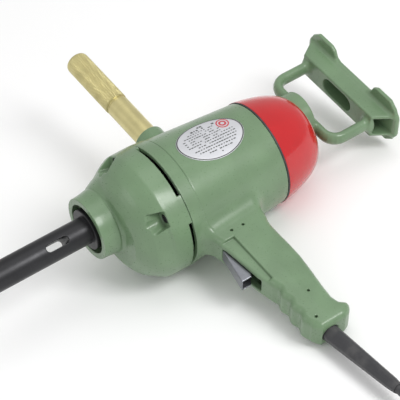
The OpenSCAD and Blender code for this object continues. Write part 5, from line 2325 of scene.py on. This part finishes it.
@dataclass
class RatingPlate:
    """The oval plate on the barrel: thin foil with a dark line round it and generic print."""

    layout: Layout
    centre: tuple[float, float] = (68.5, 0.5)
    half: tuple[float, float] = (40.5, 27.0)
    thick: float = 0.8
    sides: int = 96
    seal: tuple[float, float, float] = (24.0, 11.0, 7.4)
    seal_room: float = 9.3
    print_share: float = 0.62
    gap_chance: float = 0.16
    columns: int = 21
    rows: int = 12

    def lifted(self, x: Array, y: Array, lift: float) -> Array:
        """Points of the plate's plan, laid on the barrel and raised by lift.

        Args:
            x: Places from the plate's middle, in millimetres.
            y: The same, along y.
            lift: How far off the barrel they are.

        Returns:
            Points in tool millimetres.
        """
        at_x, at_y = x + self.centre[0], y + self.centre[1]
        radius = self.layout.barrel_radius(at_x) + lift
        return np.stack([at_x, at_y, np.sqrt(radius**2 - at_y**2)], axis=-1)

    def oval(
        self, inner: float, outer: float, rings: int, lift: float, edge: bool = False
    ) -> Mesh:
        """Rings of faces between two shares of the plate's size, down to the barrel at the edge.

        Args:
            inner: The inner ring's share of the plate's size.
            outer: The outer ring's share.
            rings: How many rings of points there are.
            lift: How far off the barrel they are.
            edge: True where the outer ring turns down to the barrel.

        Returns:
            The points and the faces.
        """
        turn = 2 * math.pi * np.arange(self.sides) / self.sides
        steps = [(s, lift) for s in np.linspace(outer, inner, rings)]
        if edge:
            steps = [(outer, -0.05), (outer, lift - 0.15), (outer - 0.006, lift), *steps[1:]]
        points = [
            self.lifted(self.half[0] * s * np.cos(turn), self.half[1] * s * np.sin(turn), up)
            for s, up in steps
        ]
        return np.concatenate(points), ring_bands(len(steps), self.sides)

    def ring_mark(self, inner: float, outer: float, lift: float) -> Mesh:
        """A round mark printed near the plate's rear end.

        Args:
            inner: Its inner radius.
            outer: Its outer radius.
            lift: How far off the barrel it is.

        Returns:
            The points and the faces.
        """
        x, y, _ = self.seal
        turn = 2 * math.pi * np.arange(self.sides) / self.sides
        points = [
            self.lifted(x + r * np.cos(turn), y + r * np.sin(turn), lift) for r in (outer, inner)
        ]
        return np.concatenate(points), ring_bands(2, self.sides)

    def build(self, shop: Workshop) -> None:
        """Makes the plate, its outline and ring, and then its rows of dashes.

        Args:
            shop: What makes and dresses the pieces.
        """
        print_lift = self.thick + 0.05
        groups = [
            (self.oval(0.0, 1.0, 12, self.thick, True), Finishes.FOIL),
            (self.oval(0.955, 0.99, 2, print_lift), Finishes.INK),
            (self.ring_mark(self.seal[2] - 1.5, self.seal[2], print_lift), Finishes.RED_INK),
            (self.ring_mark(2.2, 4.4, print_lift), Finishes.RED_INK),
        ]
        points, faces, materials = [], [], []
        for (group, bands), _ in groups:
            base = sum(map(len, points))
            faces += [[i + base for i in band] for band in bands]
            points.append(group)
        plate = shop.piece("oval_rating_plate", np.concatenate(points) * MM, faces, 40.0)
        for (_, bands), finish in groups:
            paint = finish.material(shop.tool)
            if paint.name not in plate.data.materials:
                plate.data.materials.append(paint)
            materials += [plate.data.materials.find(paint.name)] * len(bands)
        plate.data.polygons.foreach_set("material_index", materials)
        self._print(plate, shop)
        shop.finish(plate, Body.CASING, "label", ("rating_plate",))

    def _print(self, plate: bpy.types.Object, shop: Workshop) -> None:
        """Adds the rows of dashes to the plate.

        Args:
            plate: The piece that gets them.
            shop: What makes and dresses the pieces.
        """
        layout, (cx, cy) = self.layout, self.centre
        rig = Rig(
            "printed_rows",
            {
                "Row gap": 3.5 * MM,
                "Dash height": 1.15 * MM,
                "Dash room": 3.4 * MM,
                "Half length": self.half[0] * MM,
                "Half width": self.half[1] * MM,
                "Barrel radius": float(layout.barrel_radius(np.float64(0.0))) * MM,
                "Barrel taper": float(
                    layout.barrel_radius(np.float64(1.0)) - layout.barrel_radius(np.float64(0.0))
                ),
                "Lift": (self.thick + 0.06) * MM,
                "Seed": 11,
            },
        )
        width, height = rig.size("Dash room") * self.columns, rig.size("Row gap") * self.rows
        sheet = rig.grid(width, height, self.columns + 1, self.rows + 1)
        x, y, _ = rig.place_xyz()
        far = (x / rig.size("Half length")) ** 2 + (y / rig.size("Half width")) ** 2
        gone = far.above(self.print_share)
        seal_x, seal_y = x - self.seal[0] * MM, y - self.seal[1] * MM
        near_seal = seal_x**2 + seal_y**2
        gone = gone + near_seal.below((self.seal_room * MM) ** 2)
        chance = rig.node(
            "FunctionNodeRandomValue",
            {"data_type": "FLOAT"},
            {"Min": 0.0, "Max": 1.0, "Seed": rig.size("Seed")},
            1,
        )
        gone = (gone + chance.below(self.gap_chance)).above(0.5)
        kept = rig.node(
            "GeometryNodeDeleteGeometry",
            {"domain": "POINT"},
            {"Geometry": sheet, "Selection": gone},
        )
        dash = rig.grid(1.0, 1.0, 3, 2)
        size = rig.node(
            "ShaderNodeCombineXYZ",
            inputs={
                0: rig.size("Dash room") * (0.35 + 0.6 * chance),
                1: rig.size("Dash height") * (1 + y.ramp(0.0135, 0.016)),
                2: 1.0,
            },
        )
        dashes = rig.node(
            "GeometryNodeInstanceOnPoints",
            inputs={"Points": kept, "Instance": dash, "Scale": size},
        )
        dashes = rig.node("GeometryNodeRealizeInstances", inputs={"Geometry": dashes})
        at_x, at_y = x + cx * MM, y + cy * MM
        radius = rig.size("Barrel radius") + rig.size("Barrel taper") * at_x + rig.size("Lift")
        laid = rig.moved(dashes, at_x, at_y, (radius**2 - at_y**2) ** 0.5)
        rig.make(
            plate,
            rig.joined(rig.size("Geometry"), rig.painted(laid)),
            Finishes.INK,
            shop.tool,
        )


@dataclass(frozen=True)
class ScrewKind:
    """One kind of screw, in millimetres: its head, the recess in it and its shank."""

    head_r: float
    head_h: float
    shank_r: float
    shank_len: float
    recess: Recess
    recess_r: float
    recess_depth: float
    dome: float = 0.4

    def recess_radius(self, turn: float) -> float:
        """How far the recess reaches at an angle round the screw.

        Args:
            turn: The angle, in radians.

        Returns:
            The radius in millimetres.
        """
        sector = 2 * math.pi / self.recess.value
        off = (turn + sector / 2) % sector - sector / 2
        if self.recess is Recess.HEX_SOCKET:
            return self.recess_r / math.cos(off)
        arm = self.recess_r * 0.3
        return min(self.recess_r / math.cos(off), arm / max(abs(math.sin(off)), 0.05))

    def mesh(self, name: str) -> bpy.types.Mesh:
        """The screw along +x, with the top of its head at x = 0, in metres.

        Args:
            name: The mesh's name.

        Returns:
            The mesh.
        """
        sides = 48
        turn = [2 * math.pi * k / sides for k in range(sides)]
        star = [self.recess_radius(a) for a in turn]
        edge = [
            (self.dome * (1 - math.cos(a)), self.head_r - self.dome * (1 - math.sin(a)))
            for a in np.linspace(0, math.pi / 2, 4)
        ]
        head = [(x, [r] * sides) for x, r in edge]
        cup = [
            (self.recess_depth, [r * 0.92 for r in star]),
            (0.25, star),
            (0.0, [r * 1.05 for r in star]),
        ]
        body = [
            (self.head_h, [self.head_r] * sides),
            (self.head_h, [self.shank_r] * sides),
            (self.head_h + self.shank_len - 0.8, [self.shank_r] * sides),
            (self.head_h + self.shank_len, [self.shank_r * 0.6] * sides),
        ]
        rings = [*cup, *head, *body]
        points = [
            (x * MM, r * math.cos(a) * MM, r * math.sin(a) * MM)
            for x, radii in rings
            for r, a in zip(radii, turn)
        ]
        faces = [[b, c, d, a] for a, b, c, d in ring_bands(len(rings), sides)]
        last = sides * (len(rings) - 1)
        faces += [list(range(sides)), [last + k for k in range(sides)][::-1]]
        mesh = bpy.data.meshes.new(name)
        mesh.from_pydata(points, [], faces)
        mesh.shade_smooth()
        mesh.set_sharp_from_angle(angle=math.radians(35))
        return mesh


@dataclass
class ScrewSet:
    """Like screws that share a direction, each turned by chance about its own axis."""

    name: str
    kind: ScrewKind
    places: list[tuple[float, float, float]]
    turned: Rgb
    slot: str
    replaced: str
    seed: int = 5

    def build(self, shop: Workshop) -> None:
        """Makes the set as instances of one screw on its places.

        Args:
            shop: What makes and dresses the pieces.
        """
        template = bpy.data.objects.new(f"{self.name}_one", self.kind.mesh(f"{self.name}_one"))
        bpy.context.scene.collection.objects.link(template)
        screws = shop.piece(self.name, np.array(self.places) * MM, [], None)
        rig = Rig(f"{self.name}_rig", {"Direction": self.turned, "Seed": self.seed})
        one = rig.node(
            "GeometryNodeObjectInfo",
            {"transform_space": "ORIGINAL"},
            {"Object": template},
            "Geometry",
        )
        spin = rig.node(
            "FunctionNodeRandomValue",
            {"data_type": "FLOAT"},
            {"Min": 0.0, "Max": 2 * math.pi, "Seed": rig.size("Seed")},
            1,
        )
        about = rig.node("ShaderNodeCombineXYZ", inputs={0: spin, 1: 0.0, 2: 0.0})
        direction = rig.size("Direction")
        facing = rig.node(
            "FunctionNodeRotateRotation",
            {"rotation_space": "LOCAL"},
            {
                "Rotation": rig.node("FunctionNodeEulerToRotation", inputs={0: direction}),
                "Rotate By": rig.node("FunctionNodeEulerToRotation", inputs={0: about}),
            },
        )
        copies = rig.node(
            "GeometryNodeInstanceOnPoints",
            inputs={"Points": rig.size("Geometry"), "Instance": one, "Rotation": facing},
        )
        rig.make(screws, rig.painted(copies), Finishes.BY_SLOT[self.slot], shop.tool)
        bpy.data.objects.remove(template)
        shop.finish(screws, Body.CASING, self.slot, (self.replaced,))


def screw_sets(layout: Layout) -> list[ScrewSet]:
    """Every set of screws that shows from outside.

    Args:
        layout: The shared sizes.

    Returns:
        The sets, ready to build.
    """
    casing = [(-25.2, y, z) for y, z, _ in layout.screw_places()]
    lid = [(x, y, -17.6) for x, y in layout.grip_holes]
    spade = [(207.0, layout.spindle_y, z) for z in (-12.0, 12.0)]
    return [
        ScrewSet(
            "casing_cap_screws",
            ScrewKind(5.0, 6.0, 3.0, 41.0, Recess.HEX_SOCKET, 2.5, 3.0, 0.6),
            casing,
            (0.0, 0.0, 0.0),
            "dark_screws",
            "gear_housing_screws",
        ),
        ScrewSet(
            "grip_lid_screws",
            ScrewKind(3.1, 1.6, 1.6, 29.5, Recess.CROSS, 1.7, 1.1, 0.7),
            lid,
            (0.0, -math.pi / 2, 0.0),
            "bright_screws",
            "grip_cover_screws",
        ),
        ScrewSet(
            "spade_cap_screws",
            ScrewKind(5.1, 6.0, 3.0, 31.0, Recess.HEX_SOCKET, 2.5, 3.0, 0.6),
            spade,
            (0.0, 0.0, math.pi),
            "dark_screws",
            "spade_handle_screws",
        ),
    ]


@dataclass
class CarriedNodes:
    """The CAD nodes that are shown as they are, most of them inside the castings."""

    record: dict[str, Any]
    nodes: dict[str, bpy.types.Object]

    def dress(self, tool: ToolFrame) -> None:
        """Gives every node the finish of its slot in the record.

        Args:
            tool: The frame for finishes that follow the tool.
        """
        by_slot = {part["node"]: part["material_slot"] for part in self.record["subparts"]}
        for name, node in self.nodes.items():
            node.data.materials.clear()
            node.data.materials.append(Finishes.BY_SLOT[by_slot[name]].material(tool))
            LOG.info("%s carries %s", name, by_slot[name])


def main() -> None:
    """Builds the scene: the frame, the camera, the lead, the castings and the fittings."""
    logging.basicConfig(level=logging.INFO, format="%(name)s %(message)s")
    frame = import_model()
    low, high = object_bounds()
    tool = ToolFrame.from_joints(frame["joints"], (23.0, -100.5))
    shop = Workshop(tool)
    Camera().place(tool)
    Lead().build(shop)
    layout = Layout()
    for part in (GearCasing(layout), MotorCasing(layout), SpadeHandle(layout), Spindle(layout)):
        part.build(shop)
    Trigger().build(shop)
    for part in (SideBar(layout), RearCover(layout), RatingPlate(layout), *screw_sets(layout)):
        part.build(shop)
    CarriedNodes(frame["record"], frame["nodes"]).dress(tool)
    Studio().build(low, high)


if __name__ == "__main__":
    main()
